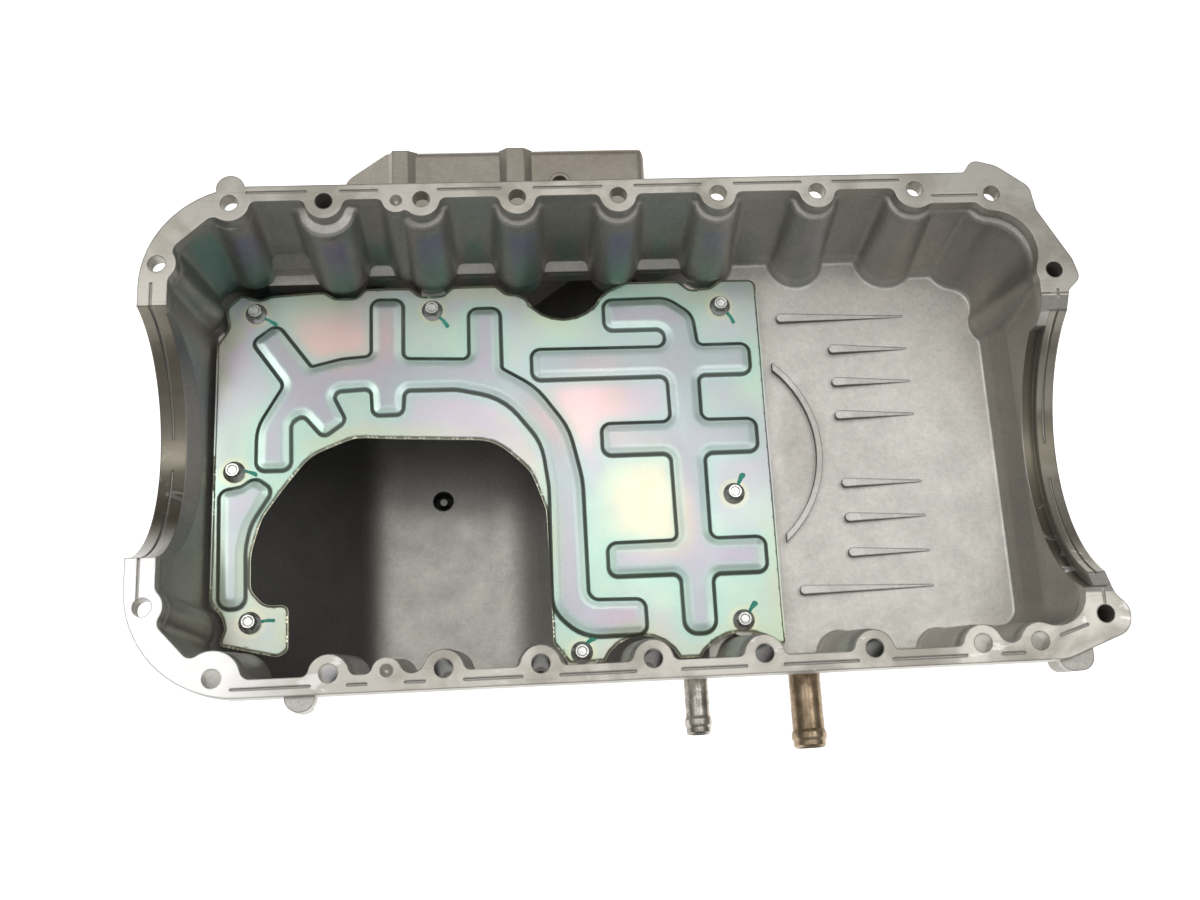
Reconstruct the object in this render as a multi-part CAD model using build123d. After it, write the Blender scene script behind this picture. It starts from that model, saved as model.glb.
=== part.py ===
from build123d import *
import math
import os

# Cast aluminium engine oil pan, gasket face up.
# +X runs along the pan to the wide-arch end, +Z points up out of the gasket face (Z = 0).
# The pan is drawn about the middle of its length and width; the finished pieces
# are moved by TO_ORIGIN, so that their origin is on the gasket face, midway
# between the two bolt holes beside the narrow arch.

# ----------------------------------------------------------------- dimensions
HALF_LEN = 243.0            # end face to centre
FLANGE_Y = 133.0            # long edge to centre line
FLANGE_T = 10.0             # flange thickness
BOLT_D = 9.0                # clearance holes for M8
HOLES_FAR = [(-198.4, 123.8), (-149.8, 123.8), (-99.0, 123.8), (-48.5, 123.8),
             (5.2, 123.8), (58.95, 123.8), (112.7, 123.8), (166.45, 123.8), (208.6, 120.2)]
HOLES_NEAR = [(-200.4, -123.2), (-145.9, -123.2), (-91.4, -123.2), (-44.9, -123.2),
              (9.6, -123.2), (64.1, -123.2), (118.6, -123.2), (173.1, -123.2), (202.1, -123.4)]
HOLES_LEFT = [(-234.0, 90.4), (-234.0, -87.6)]
HOLES_RIGHT = [(237.2, 74.6), (237.2, -111.4)]
DOWEL_FAR = (-112.2, 123.4)
DOWEL_NEAR = (-118.5, -123.1)

FLOOR_Z = -77.0             # shallow floor, inside
FLOOR_T = 6.0
DEEP_Z = -161.0             # deep sump floor, inside
DEEP_T = 6.0
WALL = 5.0
WELL_FAR_Y = 111.9          # far side of the deep well below the ledge

ARCH_L = dict(y=1.9, z=11.2, r=66.1, rim=9.0)
ARCH_R = dict(y=-18.4, z=31.7, r=80.3, rim=13.0)
ARCH_LAND = 15.0            # width of the curved land
ARCH_STEP_X, ARCH_STEP_R = 233.6, 85.6   # inner, lower land of the wide arch

SHOULDER_Z = -48.0          # top of the side bulge, outside
BULGE_Y = 178.5
BULGE_X0, BULGE_X1 = -119.0, 25.0

PLATE_TOP = -70.0
PLATE_T = 1.5
BEAD_H = 2.2
LIP_H = 4.0
PLATE_BOLTS = [(-197.3, 89.4), (-99.0, 88.6), (65.7, 86.7), (-207.4, -2.6),
               (65.7, -25.0), (-197.3, -85.7), (65.7, -95.9), (-22.6, -109.3)]
BOLT_THREAD = 6.0
HEAD_AF = 8.0
HEAD_FLANGE_D = 11.8
HEAD_H = 6.0

DRAIN = (-100.6, 0.0)
DRAIN_THREAD = 14.0

NIPPLE_S = dict(x=32.4, od=12.0, idia=9.0, y_tip=-158.5, z=-27.0)
NIPPLE_L = dict(x=87.9, od=16.0, idia=13.0, y_tip=-167.5, z=-29.0)


TO_ORIGIN = (234.0, -1.4, 0.0)


# ------------------------------------------------------------ outline helpers
def unit(v):
    n = math.hypot(v[0], v[1])
    return (v[0] / n, v[1] / n)


def ln(x0, y0, x1, y1):
    return ("L", (x0, y0), unit((x1 - x0, y1 - y0)))


def ci(x, y, r):
    return ("C", (x, y), r)


def ball(e1, e2, q):
    """Centre of a ball of radius q rolling on the open side, touching both elements."""
    def off(e):
        (px, py), (dx, dy) = e[1], e[2]
        return (px - dy * q, py + dx * q), (dx, dy)
    if e1[0] == "L" and e2[0] == "L":
        (ax, ay), (ux, uy) = off(e1)
        (bx, by), (vx, vy) = off(e2)
        den = ux * vy - uy * vx
        t = ((bx - ax) * vy - (by - ay) * vx) / den
        return (ax + ux * t, ay + uy * t)
    if e1[0] == "C" and e2[0] == "C":
        (ax, ay), ra = e1[1], e1[2] + q
        (bx, by), rb = e2[1], e2[2] + q
        dx, dy = bx - ax, by - ay
        d = math.hypot(dx, dy)
        a = (ra * ra - rb * rb + d * d) / (2 * d)
        h = math.sqrt(ra * ra - a * a)
        ux, uy = dx / d, dy / d
        return (ax + ux * a - uy * h, ay + uy * a + ux * h)
    line, circ, sgn = (e1, e2, -1) if e1[0] == "L" else (e2, e1, 1)
    (px, py), (ux, uy) = off(line)
    (cx, cy), rr = circ[1], circ[2] + q
    t0 = (cx - px) * ux + (cy - py) * uy
    fx, fy = px + ux * t0, py + uy * t0
    h = math.sqrt(rr * rr - ((cx - fx) ** 2 + (cy - fy) ** 2))
    return (fx + sgn * ux * h, fy + sgn * uy * h)


def touch(e, b, q):
    if e[0] == "L":
        dx, dy = e[2]
        return (b[0] + dy * q, b[1] - dx * q)
    cx, cy = e[1]
    d = math.hypot(b[0] - cx, b[1] - cy)
    return (cx + (b[0] - cx) * e[2] / d, cy + (b[1] - cy) * e[2] / d)


def arc3(c, r, p, q):
    m = unit((p[0] + q[0] - 2 * c[0], p[1] + q[1] - 2 * c[1]))
    return (c[0] + m[0] * r, c[1] + m[1] * r)


def rolled_wire(elements, joints, z):
    """Closed wire at height z through lines and bosses, blended by rolling balls.
    joints[i] is the blend radius between elements[i] and elements[i+1]."""
    n = len(elements)
    balls = [ball(elements[i], elements[(i + 1) % n], joints[i]) for i in range(n)]
    edges = []
    for i in range(n):
        e = elements[i]
        t_in = touch(e, balls[i - 1], joints[i - 1])
        t_out = touch(e, balls[i], joints[i])
        if e[0] == "L":
            run = (t_out[0] - t_in[0]) * e[2][0] + (t_out[1] - t_in[1]) * e[2][1]
            if run < 0.02:
                raise ValueError(f"line {i} at z={z} has run {run:.2f}")
            edges.append(Edge.make_line((*t_in, z), (*t_out, z)))
        else:
            m = arc3(e[1], e[2], t_in, t_out)
            edges.append(Edge.make_three_point_arc((*t_in, z), (*m, z), (*t_out, z)))
        nxt = elements[(i + 1) % n]
        b, q = balls[i], joints[i]
        t2 = touch(nxt, b, q)
        m = arc3(b, q, t_out, t2)
        edges.append(Edge.make_three_point_arc((*t_out, z), (*m, z), (*t2, z)))
    return Wire(edges)


def rounded_wire(pts, z, at=lambda p, z: (p[0], p[1], z)):
    """Closed wire through (x, y, radius) corners, given anticlockwise or clockwise."""
    n = len(pts)
    tang = []
    for i in range(n):
        p0, p1, p2 = pts[i - 1], pts[i], pts[(i + 1) % n]
        a = unit((p0[0] - p1[0], p0[1] - p1[1]))
        b = unit((p2[0] - p1[0], p2[1] - p1[1]))
        r = p1[2]
        if r <= 0:
            tang.append(((p1[0], p1[1]), None, (p1[0], p1[1])))
            continue
        half = math.acos(max(-1, min(1, a[0] * b[0] + a[1] * b[1]))) / 2
        d = r / math.tan(half)
        ta = (p1[0] + a[0] * d, p1[1] + a[1] * d)
        tb = (p1[0] + b[0] * d, p1[1] + b[1] * d)
        bis = unit((a[0] + b[0], a[1] + b[1]))
        c = (p1[0] + bis[0] * r / math.sin(half), p1[1] + bis[1] * r / math.sin(half))
        m = (c[0] - bis[0] * r, c[1] - bis[1] * r)
        tang.append((ta, m, tb))
    edges = []
    for i in range(n):
        ta, m, tb = tang[i]
        if m is not None:
            edges.append(Edge.make_three_point_arc(at(ta, z), at(m, z), at(tb, z)))
        nx = tang[(i + 1) % n][0]
        if math.hypot(nx[0] - tb[0], nx[1] - tb[1]) > 1e-4:
            edges.append(Edge.make_line(at(tb, z), at(nx, z)))
    return Wire(edges)


def loft_solid(w1, w2):
    return Solid.make_loft([w1, w2], ruled=True)


def prism(wire, height):
    return extrude(Face(wire), amount=height, dir=(0, 0, 1))


def box(x0, x1, y0, y1, z0, z1):
    return Pos((x0 + x1) / 2, (y0 + y1) / 2, (z0 + z1) / 2) * Box(x1 - x0, y1 - y0, z1 - z0)


def rod(x, y, z0, z1, d):
    return Pos(x, y, (z0 + z1) / 2) * Cylinder(d / 2, z1 - z0)


def rod_x(x0, x1, y, z, r):
    return Pos((x0 + x1) / 2, y, z) * Rot(0, 90, 0) * Cylinder(r, x1 - x0)


def slot(x0, y0, x1, y1, w, z0, z1):
    a = math.degrees(math.atan2(y1 - y0, x1 - x0))
    length = math.hypot(x1 - x0, y1 - y0)
    s = Pos((x0 + x1) / 2, (y0 + y1) / 2, z0) * Rot(0, 0, a) * extrude(SlotCenterToCenter(max(length - w, 0.1), w), amount=z1 - z0)
    return s


def xz_prism(pts, y0, y1, r=0.0):
    w = rounded_wire([(x, z, r) for x, z in pts], y0, lambda p, y: (p[0], y, p[1]))
    return extrude(Face(w), amount=y1 - y0, dir=(0, 1, 0))


def yz_prism(pts, x0, x1, r=0.0):
    w = rounded_wire([(y, z, r) for y, z in pts], x0, lambda p, x: (x, p[0], p[1]))
    return extrude(Face(w), amount=x1 - x0, dir=(1, 0, 0))


# ---------------------------------------------------------------- pan cavity
def cavity_wire(z, wy, wxl, wxr, by, r, r2, k, step8, lug, q9, qn):
    """Inner wall line at height z.
    wy: long wall distance, by: boss centre distance, r: boss radius,
    r2: radius of the large boss, k: blend radius, step8: wall line between the last two far bosses,
    lug: centre x and radius of the boss in the far wide-arch corner, q9, qn: corner blends."""
    F, B = HOLES_FAR, HOLES_NEAR
    near = ln(-10, -wy, 10, -wy)
    far = ln(10, wy, -10, wy)
    dy = 123.8 - by
    rc = 9.8 + (r - 9.8) * 0.24
    rn = 9.8 + (r - 9.8) * 0.55
    rl = 9.8 + (r - 9.8) * 0.42
    rb = 9.8 + (r - 9.8) * 0.4
    el, jo = [], []

    def add(e, q):
        el.append(e)
        jo.append(q)
    add(ln(-wxl, 10, -wxl, -10), k + 2)
    add(ci(-234.0 + (228.2 - wxl), -87.6, rl), k + 1.2)
    add(ln(-226.8 + dy * .6, -97.0 + dy * .6, -212.8 + dy * .6, -112.6 + dy * .6), k + 1.2)
    add(ci(-200.4, -by + 0.6, rc + 3.6), 5)
    add(near, k)
    add(ci(B[1][0], -by, rb), k)
    add(near, k)
    add(ci(DOWEL_NEAR[0], -by, 7.2 + dy * .2), 6 - dy * .25)
    for i in (2, 3, 4, 5, 6):
        add(ci(B[i][0], -by, rb if i == 2 else rn), k)
        add(near, k)
    add(ci(B[7][0], -by, rb), 6 - dy * .2)
    add(ci(B[8][0], -by, rb), qn)
    add(ln(wxr, -10, wxr, 10), 5)
    add(ci(lug[0], 74.0, lug[1]), q9)
    add(ci(208.6, by - 3.2, r + 0.8), 4)
    add(ln(190, step8, 180, step8), 4)
    add(ci(F[7][0], by, r + 1.6), k)
    for i in (6, 5, 4, 3):
        add(far, k)
        add(ci(F[i][0], by, r), k)
    add(far, k)
    add(ci(F[2][0], by, r), 3)
    add(ci(DOWEL_FAR[0], by, 7.4 + dy * .2), k)
    add(far, k)
    add(ci(F[1][0], by, r2), k)
    add(far, k)
    add(ci(F[0][0], by, rc + 0.6), k + 1.2)
    add(ln(-208.0 + dy * .6, 115.8 - dy * .6, -223.8 + dy * .6, 101.6 - dy * .6), k + 1.2)
    add(ci(-234.0 + (228.2 - wxl), 90.4, rl), k + 2)
    return rolled_wire(el, jo, z)


LEVELS = [
    dict(z=2.0, wy=124.3, wxl=228.2, wxr=228.2, by=123.8, r=9.8, r2=10.0, k=3.6, step8=115.0, lug=(237.2, 9.8), q9=24.0, qn=16.0),
    dict(z=-7.8, wy=124.3, wxl=228.2, wxr=228.2, by=123.8, r=9.8, r2=10.0, k=3.6, step8=115.0, lug=(237.2, 9.8), q9=24.0, qn=16.0),
    dict(z=-8.5, wy=124.2, wxl=228.0, wxr=228.2, by=123.7, r=10.5, r2=12.0, k=3.6, step8=114.7, lug=(237.1, 10.0), q9=24.0, qn=16.0),
    dict(z=-9.4, wy=124.1, wxl=227.8, wxr=228.1, by=123.5, r=11.8, r2=14.2, k=3.8, step8=114.1, lug=(237.0, 10.3), q9=23.5, qn=16.0),
    dict(z=-10.8, wy=124.0, wxl=227.6, wxr=228.0, by=123.3, r=12.6, r2=15.4, k=4.0, step8=113.6, lug=(236.8, 10.7), q9=23.0, qn=16.0),
    dict(z=-13.5, wy=123.6, wxl=227.4, wxr=227.9, by=123.0, r=12.9, r2=16.0, k=4.2, step8=113.2, lug=(236.4, 11.0), q9=22.5, qn=16.0),
    dict(z=-55.0, wy=118.8, wxl=223.3, wxr=227.0, by=118.5, r=14.2, r2=16.0, k=3.8, step8=108.5, lug=(230.2, 12.2), q9=17.0, qn=14.0),
    dict(z=-72.5, wy=116.8, wxl=221.5, wxr=220.4, by=116.6, r=14.8, r2=16.0, k=3.6, step8=106.6, lug=(227.2, 12.4), q9=13.0, qn=12.0),
    dict(z=-75.0, wy=116.1, wxl=220.8, wxr=219.7, by=116.5, r=15.4, r2=16.6, k=3.0, step8=105.8, lug=(226.8, 12.6), q9=12.6, qn=11.4),
    dict(z=-76.5, wy=115.0, wxl=219.7, wxr=218.8, by=116.4, r=16.3, r2=17.6, k=2.4, step8=104.7, lug=(226.2, 12.8), q9=12.2, qn=10.8),
    dict(z=FLOOR_Z, wy=113.8, wxl=218.5, wxr=217.8, by=116.3, r=17.3, r2=18.4, k=1.8, step8=103.5, lug=(226.0, 13.0), q9=12.0, qn=10.0),
]
wires = [cavity_wire(**lv) for lv in LEVELS]
upper = None
for a, b in zip(wires[:-1], wires[1:]):
    s = loft_solid(a, b)
    upper = s if upper is None else upper + s

# deep sump, inside: full-width well with a steep left slope and a long right slope
WELL_XZ = [(-221.5, -71.0), (-139.0, DEEP_Z), (-56.0, DEEP_Z), (54.0, -71.0)]
WELL_R = [0, 34, 44, 0]
well_in = extrude(Face(rounded_wire([(x, z, r) for (x, z), r in zip(WELL_XZ, WELL_R)], -117.2, lambda p, y: (p[0], y, p[1]))),
                  amount=117.2 + WELL_FAR_Y, dir=(0, 1, 0))
well_in = well_in & yz_prism([(-118.0, -60.0), (-109.8, DEEP_Z - 1.0), (WELL_FAR_Y, DEEP_Z - 1.0), (WELL_FAR_Y, -60.0)], -230, 60, 0) \
    & prism(rounded_wire([(-221.5, -117.2, 26), (54.0, -117.2, 8), (54.0, WELL_FAR_Y, 4), (-221.5, WELL_FAR_Y, 22)], -200), 150)
# side bulge, inside
bulge_xz = [(BULGE_X1 - WALL, SHOULDER_Z - WALL), (BULGE_X0 + 2.0, SHOULDER_Z - WALL), (-144.0, -86.0),
            (-139.0, -128.0), (-118.0, DEEP_Z), (-56.0, DEEP_Z), (BULGE_X1 - WALL, -113.0)]
bulge_yz = [(124.5, SHOULDER_Z - WALL), (BULGE_Y - WALL, SHOULDER_Z - WALL), (BULGE_Y - WALL, -84.0),
            (116.0, DEEP_Z), (60.0, DEEP_Z), (60.0, -92.0), (112.0, -86.0), (124.5, -86.0)]
bulge_in = xz_prism(bulge_xz, 40, 200, 3.5) & yz_prism(bulge_yz, -200, 60, 2.0) & \
    prism(rounded_wire([(-146, 40, 4), (BULGE_X1 - WALL, 40, 4), (BULGE_X1 - WALL, BULGE_Y - WALL, 4), (-146, BULGE_Y - WALL, 4)], -190), 180)

# ---------------------------------------------------------------- pan outside
flange_pts = [(-HALF_LEN, FLANGE_Y, 55), (194.5, FLANGE_Y, 2), (199.5, 140.5, 6), (213.0, 136.8, 14),
              (230.0, 123.8, 8), (232.0, 110.0, 6), (247.9, 80.6, 8), (250.8, 69.5, 6), (HALF_LEN, 62.0, 5),
              (HALF_LEN, -101.0, 6), (249.8, -108.0, 8), (250.0, -120.0, 10), (215.0, -FLANGE_Y, 16),
              (-HALF_LEN, -FLANGE_Y, 55)]
flange = prism(rounded_wire(flange_pts, -FLANGE_T), FLANGE_T)
flange += rod(-197.9, 131.9, -FLANGE_T, 0, 14.8)
flange += rod(-159.6, -133.2, -FLANGE_T - 4, -3.0, 14.8)
flange += loft_solid(
    rounded_wire([(211.8, -124, 3), (211.8, -138.6, 7), (229.6, -138.6, 7), (229.6, -124, 3)], -4.0),
    rounded_wire([(213.0, -124, 3), (213.0, -137.0, 6), (228.4, -137.0, 6), (228.4, -124, 3)], -24.0))

body_upper = loft_solid(
    rounded_wire([(-233.4, -129.0, 34), (233.6, -129.0, 30), (233.6, 129.0, 30), (-233.4, 129.0, 34)], -6.0),
    rounded_wire([(-228.6, -123.4, 32), (233.2, -123.4, 28), (233.2, 123.4, 28), (-228.6, 123.4, 32)], -57.0))
body_upper += loft_solid(
    rounded_wire([(-228.6, -123.4, 32), (233.2, -123.4, 28), (233.2, 123.4, 28), (-228.6, 123.4, 32)], -57.0),
    rounded_wire([(-226.0, -120.6, 30), (224.5, -120.6, 26), (224.5, 120.6, 26), (-226.0, 120.6, 30)], FLOOR_Z - FLOOR_T))

well_out = extrude(Face(rounded_wire([(-227.0, -66.0, 0), (-227.0, -74.0, 0), (-142.0, DEEP_Z - DEEP_T, 30), (-53.0, DEEP_Z - DEEP_T, 40), (66.0, -74.0, 0), (66.0, -66.0, 0)],
                                     -123.0, lambda p, y: (p[0], y, p[1]))), amount=245.4, dir=(0, 1, 0))
well_out = well_out & yz_prism([(-122.6, -60.0), (-115.0, DEEP_Z - DEEP_T - 1.0), (118.4, DEEP_Z - DEEP_T - 1.0), (122.4, -60.0)], -230, 70, 0) \
    & prism(rounded_wire([(-227.0, -122.8, 30), (66.0, -122.8, 14), (66.0, 122.8, 14), (-227.0, 122.8, 30)], -200), 150)
bx = [(BULGE_X1, SHOULDER_Z), (BULGE_X0, SHOULDER_Z), (-150.0, -84.0), (-144.5, -130.0),
      (-121.0, DEEP_Z - DEEP_T), (-51.0, DEEP_Z - DEEP_T), (BULGE_X1, -120.0)]
by_ = [(60.0, SHOULDER_Z), (BULGE_Y, SHOULDER_Z), (BULGE_Y, -86.0), (122.0, DEEP_Z - DEEP_T), (60.0, DEEP_Z - DEEP_T)]
bulge_out = xz_prism(bx, 40, 200, 5.0) & yz_prism(by_, -200, 60, 5.0) & \
    prism(rounded_wire([(-152, 40, 6), (BULGE_X1, 40, 6), (BULGE_X1, BULGE_Y, 7), (-152, BULGE_Y, 7)], -190), 180)

pan = flange + body_upper + well_out + bulge_out

# curved rims under the two crank arches
for side, a in ((-1, ARCH_L), (1, ARCH_R)):
    x0, x1 = sorted((side * HALF_LEN, side * (HALF_LEN - ARCH_LAND)))
    rim = rod_x(x0, x1, a["y"], a["z"], a["r"] + a["rim"]) & box(x0, x1, -120, 120, -100, 0.0)
    pan += rim

# long bosses round the deep bolt holes in the end lugs
for x, y in HOLES_RIGHT:
    pan += rod(x - 1.5, y, -38.0, -5.0, 20.0)
# closed boss under the second far hole
pan += rod(HOLES_FAR[1][0], HOLES_FAR[1][1], -44.0, -5.0, 20.0)

# hose nipple bosses on the near wall
for n in (NIPPLE_S, NIPPLE_L):
    pan += Pos(n["x"], -119.0, n["z"]) * Rot(90, 0, 0) * Cylinder(n["od"] / 2 + 4.0, 20.0)

# raised lands on the shoulder of the bulge
pan += xz_prism([(-58.6, SHOULDER_Z - 4), (-58.6, SHOULDER_Z - 0.4), (-54.0, SHOULDER_Z + 3.6), (-44.0, SHOULDER_Z + 3.6), (-39.4, SHOULDER_Z - 0.4), (-39.4, SHOULDER_Z - 4)], 118.0, BULGE_Y - 1.5, 1.2)
pan += xz_prism([(-124.0, SHOULDER_Z - 8), (-118.5, SHOULDER_Z + 2.6), (-110.0, SHOULDER_Z + 2.6), (-104.6, SHOULDER_Z - 0.6), (-104.6, SHOULDER_Z - 4.5), (-116.0, SHOULDER_Z - 8)], 118.0, BULGE_Y - 1.5, 0.8)
pan += rod(-24.2, 154.0, SHOULDER_Z - 6, SHOULDER_Z + 5.0, 12.6)
# drain boss
pan += rod(DRAIN[0], DRAIN[1], DEEP_Z - DEEP_T - 5, DEEP_Z - 1, 30.0)
# bottom ribs outside the shallow floor
for y in (-80, -40, 0, 40, 80):
    pan += xz_prism([(40.0, FLOOR_Z - 5), (205.0, FLOOR_Z - 5), (205.0, FLOOR_Z - FLOOR_T - 2), (60.0, FLOOR_Z - FLOOR_T - 9), (0.0, -125.0)], y - 2.2, y + 2.2)

# wrench pockets outside the long walls
POCKET_R = 8.6
through = [HOLES_FAR[i] for i in (0, 5, 6, 7, 8)] + [HOLES_NEAR[i] for i in (0, 1, 7, 8)] + HOLES_LEFT
low = [HOLES_NEAR[i] for i in (2, 3, 4, 5, 6)]
short = [(HOLES_FAR[i], SHOULDER_Z) for i in (2, 3, 4)]
for x, y in through:
    depth = 86.0
    pk = rod(x, y, -depth, -FLANGE_T, 2 * POCKET_R)
    if abs(x) > 230:
        pk += box(x - 30, x, y - POCKET_R, y + POCKET_R, -depth, -FLANGE_T)
    else:
        y2 = y + math.copysign(30, y)
        pk += box(x - POCKET_R, x + POCKET_R, min(y, y2), max(y, y2), -depth, -FLANGE_T)
    if y < 0 and -230 < x < 60:
        pk -= box(x - 20, x + 20, -121.4, -100, -depth - 1, -68.0)
    pan -= pk
for x, y in low:
    pk = rod(x, y, -86.0, -48.0, 2 * POCKET_R) + box(x - POCKET_R, x + POCKET_R, y - 30, y, -86.0, -48.0)
    if x < 60:
        pk -= box(x - 20, x + 20, -121.4, -100, -87.0, -68.0)
    pan -= pk
for (x, y), zb in short:
    y2 = y + math.copysign(11 if zb == SHOULDER_Z else 30, y)
    pan -= rod(x, y, zb, -FLANGE_T, 2 * POCKET_R) + box(x - POCKET_R, x + POCKET_R, min(y, y2), max(y, y2), zb, -FLANGE_T)

# ---- hollow the pan out, keeping the wall bosses that hang beside the well
pan -= upper
keep = None
for (x, y) in HOLES_FAR[1:6]:
    c = Solid.make_loft([Wire.make_circle(14.25 if x != HOLES_FAR[1][0] else 15.5, Plane(origin=(x, 116.7, -71.0))),
                         Wire.make_circle(13.4, Plane(origin=(x, 116.4, -84.0)))], ruled=True)
    keep = c if keep is None else keep + c
# ledges between the bosses, at the foot of the far wall
sill = yz_prism([(124.5, -64.0), (117.6, -69.0), (112.0, -72.6), (112.0, -86.0), (124.5, -86.0)], -160.0, 46.0)
sill += yz_prism([(124.5, -50.0), (119.2, -54.0), (113.4, -63.6), (113.4, -71.8), (107.8, -72.4), (107.8, -92.0), (124.5, -92.0)], -192.0, -158.0)
well_cut = (well_in + bulge_in) - keep
pan -= well_cut
pan += sill

# brackets and pads that carry the baffle plate
PAD_Z = PLATE_TOP - PLATE_T
pads = rod(PLATE_BOLTS[2][0], PLATE_BOLTS[2][1], FLOOR_Z - 2, PAD_Z, 17)
pads += rod(PLATE_BOLTS[4][0], PLATE_BOLTS[4][1], FLOOR_Z - 2, PAD_Z, 17)
pads += rod(PLATE_BOLTS[6][0], PLATE_BOLTS[6][1], FLOOR_Z - 2, PAD_Z, 17)
x, y = PLATE_BOLTS[1]
pads += rod(x, y, -90.0, PAD_Z, 17) + yz_prism([(y - 2, -79.0), (y + 24, -79.0), (y + 24, -112.0), (y - 6, -90.0)], x - 7, x + 7)
x, y = PLATE_BOLTS[7]
pads += yz_prism([(y + 8, PAD_Z), (y - 12, PAD_Z), (y - 12, -100.0), (y + 8, -86.0)], x - 8, x + 8)
for i in (0, 3, 5):
    x, y = PLATE_BOLTS[i]
    pads += rod(x, y, -116.0 if i != 3 else -104.0, PAD_Z, 17)
pan += pads

# ribs on the shallow floor
for yr in (-80, -60, -40, -20, 20, 40, 60, 80):
    xs = 99.0 if abs(yr) == 80 else 128.0
    w = rounded_wire([(xs, yr - 2.6, 2.4), (174.5, yr - 0.5, 0.3), (174.5, yr + 0.5, 0.3), (xs, yr + 2.6, 2.4)], FLOOR_Z - 1.0)
    rib = prism(w, 10.0) & xz_prism([(xs - 5, FLOOR_Z - 1), (xs - 5, FLOOR_Z + 3.8), (xs + 8, FLOOR_Z + 3.8), (174.5, FLOOR_Z + 0.3), (176, FLOOR_Z - 1)], yr - 5, yr + 5)
    pan += rib
rib = (rod(50.0, 0, FLOOR_Z - 1, FLOOR_Z + 3.6, 2 * 68.6) - rod(50.0, 0, FLOOR_Z - 2, FLOOR_Z + 5, 2 * 65.2)) & \
    xz_prism([(94, FLOOR_Z - 2), (130, FLOOR_Z - 2), (130, FLOOR_Z + 5), (94, FLOOR_Z + 5)], -60, 60)
pan += rib

# crank arches
for side, a in ((-1, ARCH_L), (1, ARCH_R)):
    x0, x1 = sorted((side * (HALF_LEN + 12), side * (HALF_LEN - ARCH_LAND - 10)))
    pan -= rod_x(x0, x1, a["y"], a["z"], a["r"])
# inner side of the narrow arch's land leans back to the floor
pan -= Solid.make_loft([Wire.make_circle(ARCH_L["r"] - 0.8, Plane(origin=(-230.4, ARCH_L["y"], ARCH_L["z"]), z_dir=(1, 0, 0))),
                        Wire.make_circle(ARCH_L["r"] + 11.0, Plane(origin=(-218.6, ARCH_L["y"], ARCH_L["z"]), z_dir=(1, 0, 0)))], ruled=True) & box(-232, -216, -62, 66, -80, -7)
# second, lower land on the inner side of the wide arch
pan -= rod_x(HALF_LEN - ARCH_LAND - 10, ARCH_STEP_X, ARCH_R["y"], ARCH_R["z"], ARCH_STEP_R) & box(210, 240, -110, 48.0, -70, 1)
# bevels where the wide arch meets the gasket face
pan -= yz_prism([(60.2, 0.2), (50.0, 0.2), (50.0, -7.5)], HALF_LEN - ARCH_LAND - 1, HALF_LEN + 12)
pan -= yz_prism([(-100.4, 0.2), (-88.0, 0.2), (-88.0, -7.5)], HALF_LEN - ARCH_LAND - 1, HALF_LEN + 12)

# ---------------------------------------------------------- drilled and milled
for x, y in HOLES_FAR + HOLES_NEAR:
    pan -= rod(x, y, -36.0 if (x, y) == HOLES_FAR[1] else -50.0 if (x, y) in low else -FLANGE_T - 3, 3, BOLT_D)
for x, y in HOLES_LEFT:
    pan -= rod(x, y, -FLANGE_T - 3, 3, BOLT_D)
for x, y in HOLES_RIGHT:
    pan -= rod(x, y, -36.0, 3, BOLT_D)
for x, y in (DOWEL_FAR, DOWEL_NEAR):
    pan -= Pos(x, y, -1.6) * Cone(0.9, 3.2, 3.2)

G_W, G_D = 1.1, 1.0
grooves = [(-190.1, 129.5, -158.5, 129.5), (-141.6, 129.4, -121.6, 129.4), (-90.6, 129.3, -57.0, 129.3),
           (-40.1, 129.2, -3.1, 129.2), (13.9, 129.3, 50.3, 129.3), (67.5, 129.4, 104.6, 129.4),
           (121.4, 129.4, 158.3, 129.4), (175.0, 119.6, 200.6, 119.6), (212.4, -121.2, 227.6, -116.2),
           (-191.8, -128.8, -154.0, -128.8), (-137.3, -129.0, -127.5, -129.0), (-110.0, -129.0, -100.0, -129.0),
           (-82.0, -129.0, -53.6, -129.0), (-36.0, -129.0, 1.1, -129.0), (22.8, -129.0, 55.2, -129.0),
           (73.0, -129.0, 110.4, -129.0), (126.9, -129.0, 164.6, -129.0), (181.7, -128.9, 193.7, -128.9)]
for g in grooves:
    pan -= slot(*g, G_W, -G_D, 2.0)


def arc_groove(p0, pm, p1):
    e = Edge.make_three_point_arc((*p0, -G_D), (*pm, -G_D), (*p1, -G_D))
    c = e.arc_center
    r = e.radius
    ring = rod(c.X, c.Y, -G_D, 2.0, 2 * r + G_W) - rod(c.X, c.Y, -G_D - 1, 3.0, 2 * r - G_W)
    ux, uy = unit((pm[0] - c.X, pm[1] - c.Y))
    half = math.degrees(math.acos(max(-1, min(1, ((p0[0] - c.X) * ux + (p0[1] - c.Y) * uy) / r))))
    wedge = Pos(c.X, c.Y, -G_D) * Rot(0, 0, math.degrees(math.atan2(uy, ux)) - half) * Cylinder(r + 4, 3.0, arc_size=2 * half, align=(Align.CENTER, Align.CENTER, Align.MIN))
    return ring & wedge


pan -= arc_groove((-232.4, 100.2), (-222.5, 115.6), (-209.5, 123.9))
pan -= arc_groove((-233.4, -98.1), (-224.8, -111.3), (-211.5, -121.0))
pan -= arc_groove((218.4, 115.3), (229.0, 102.0), (236.4, 86.2))
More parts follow.
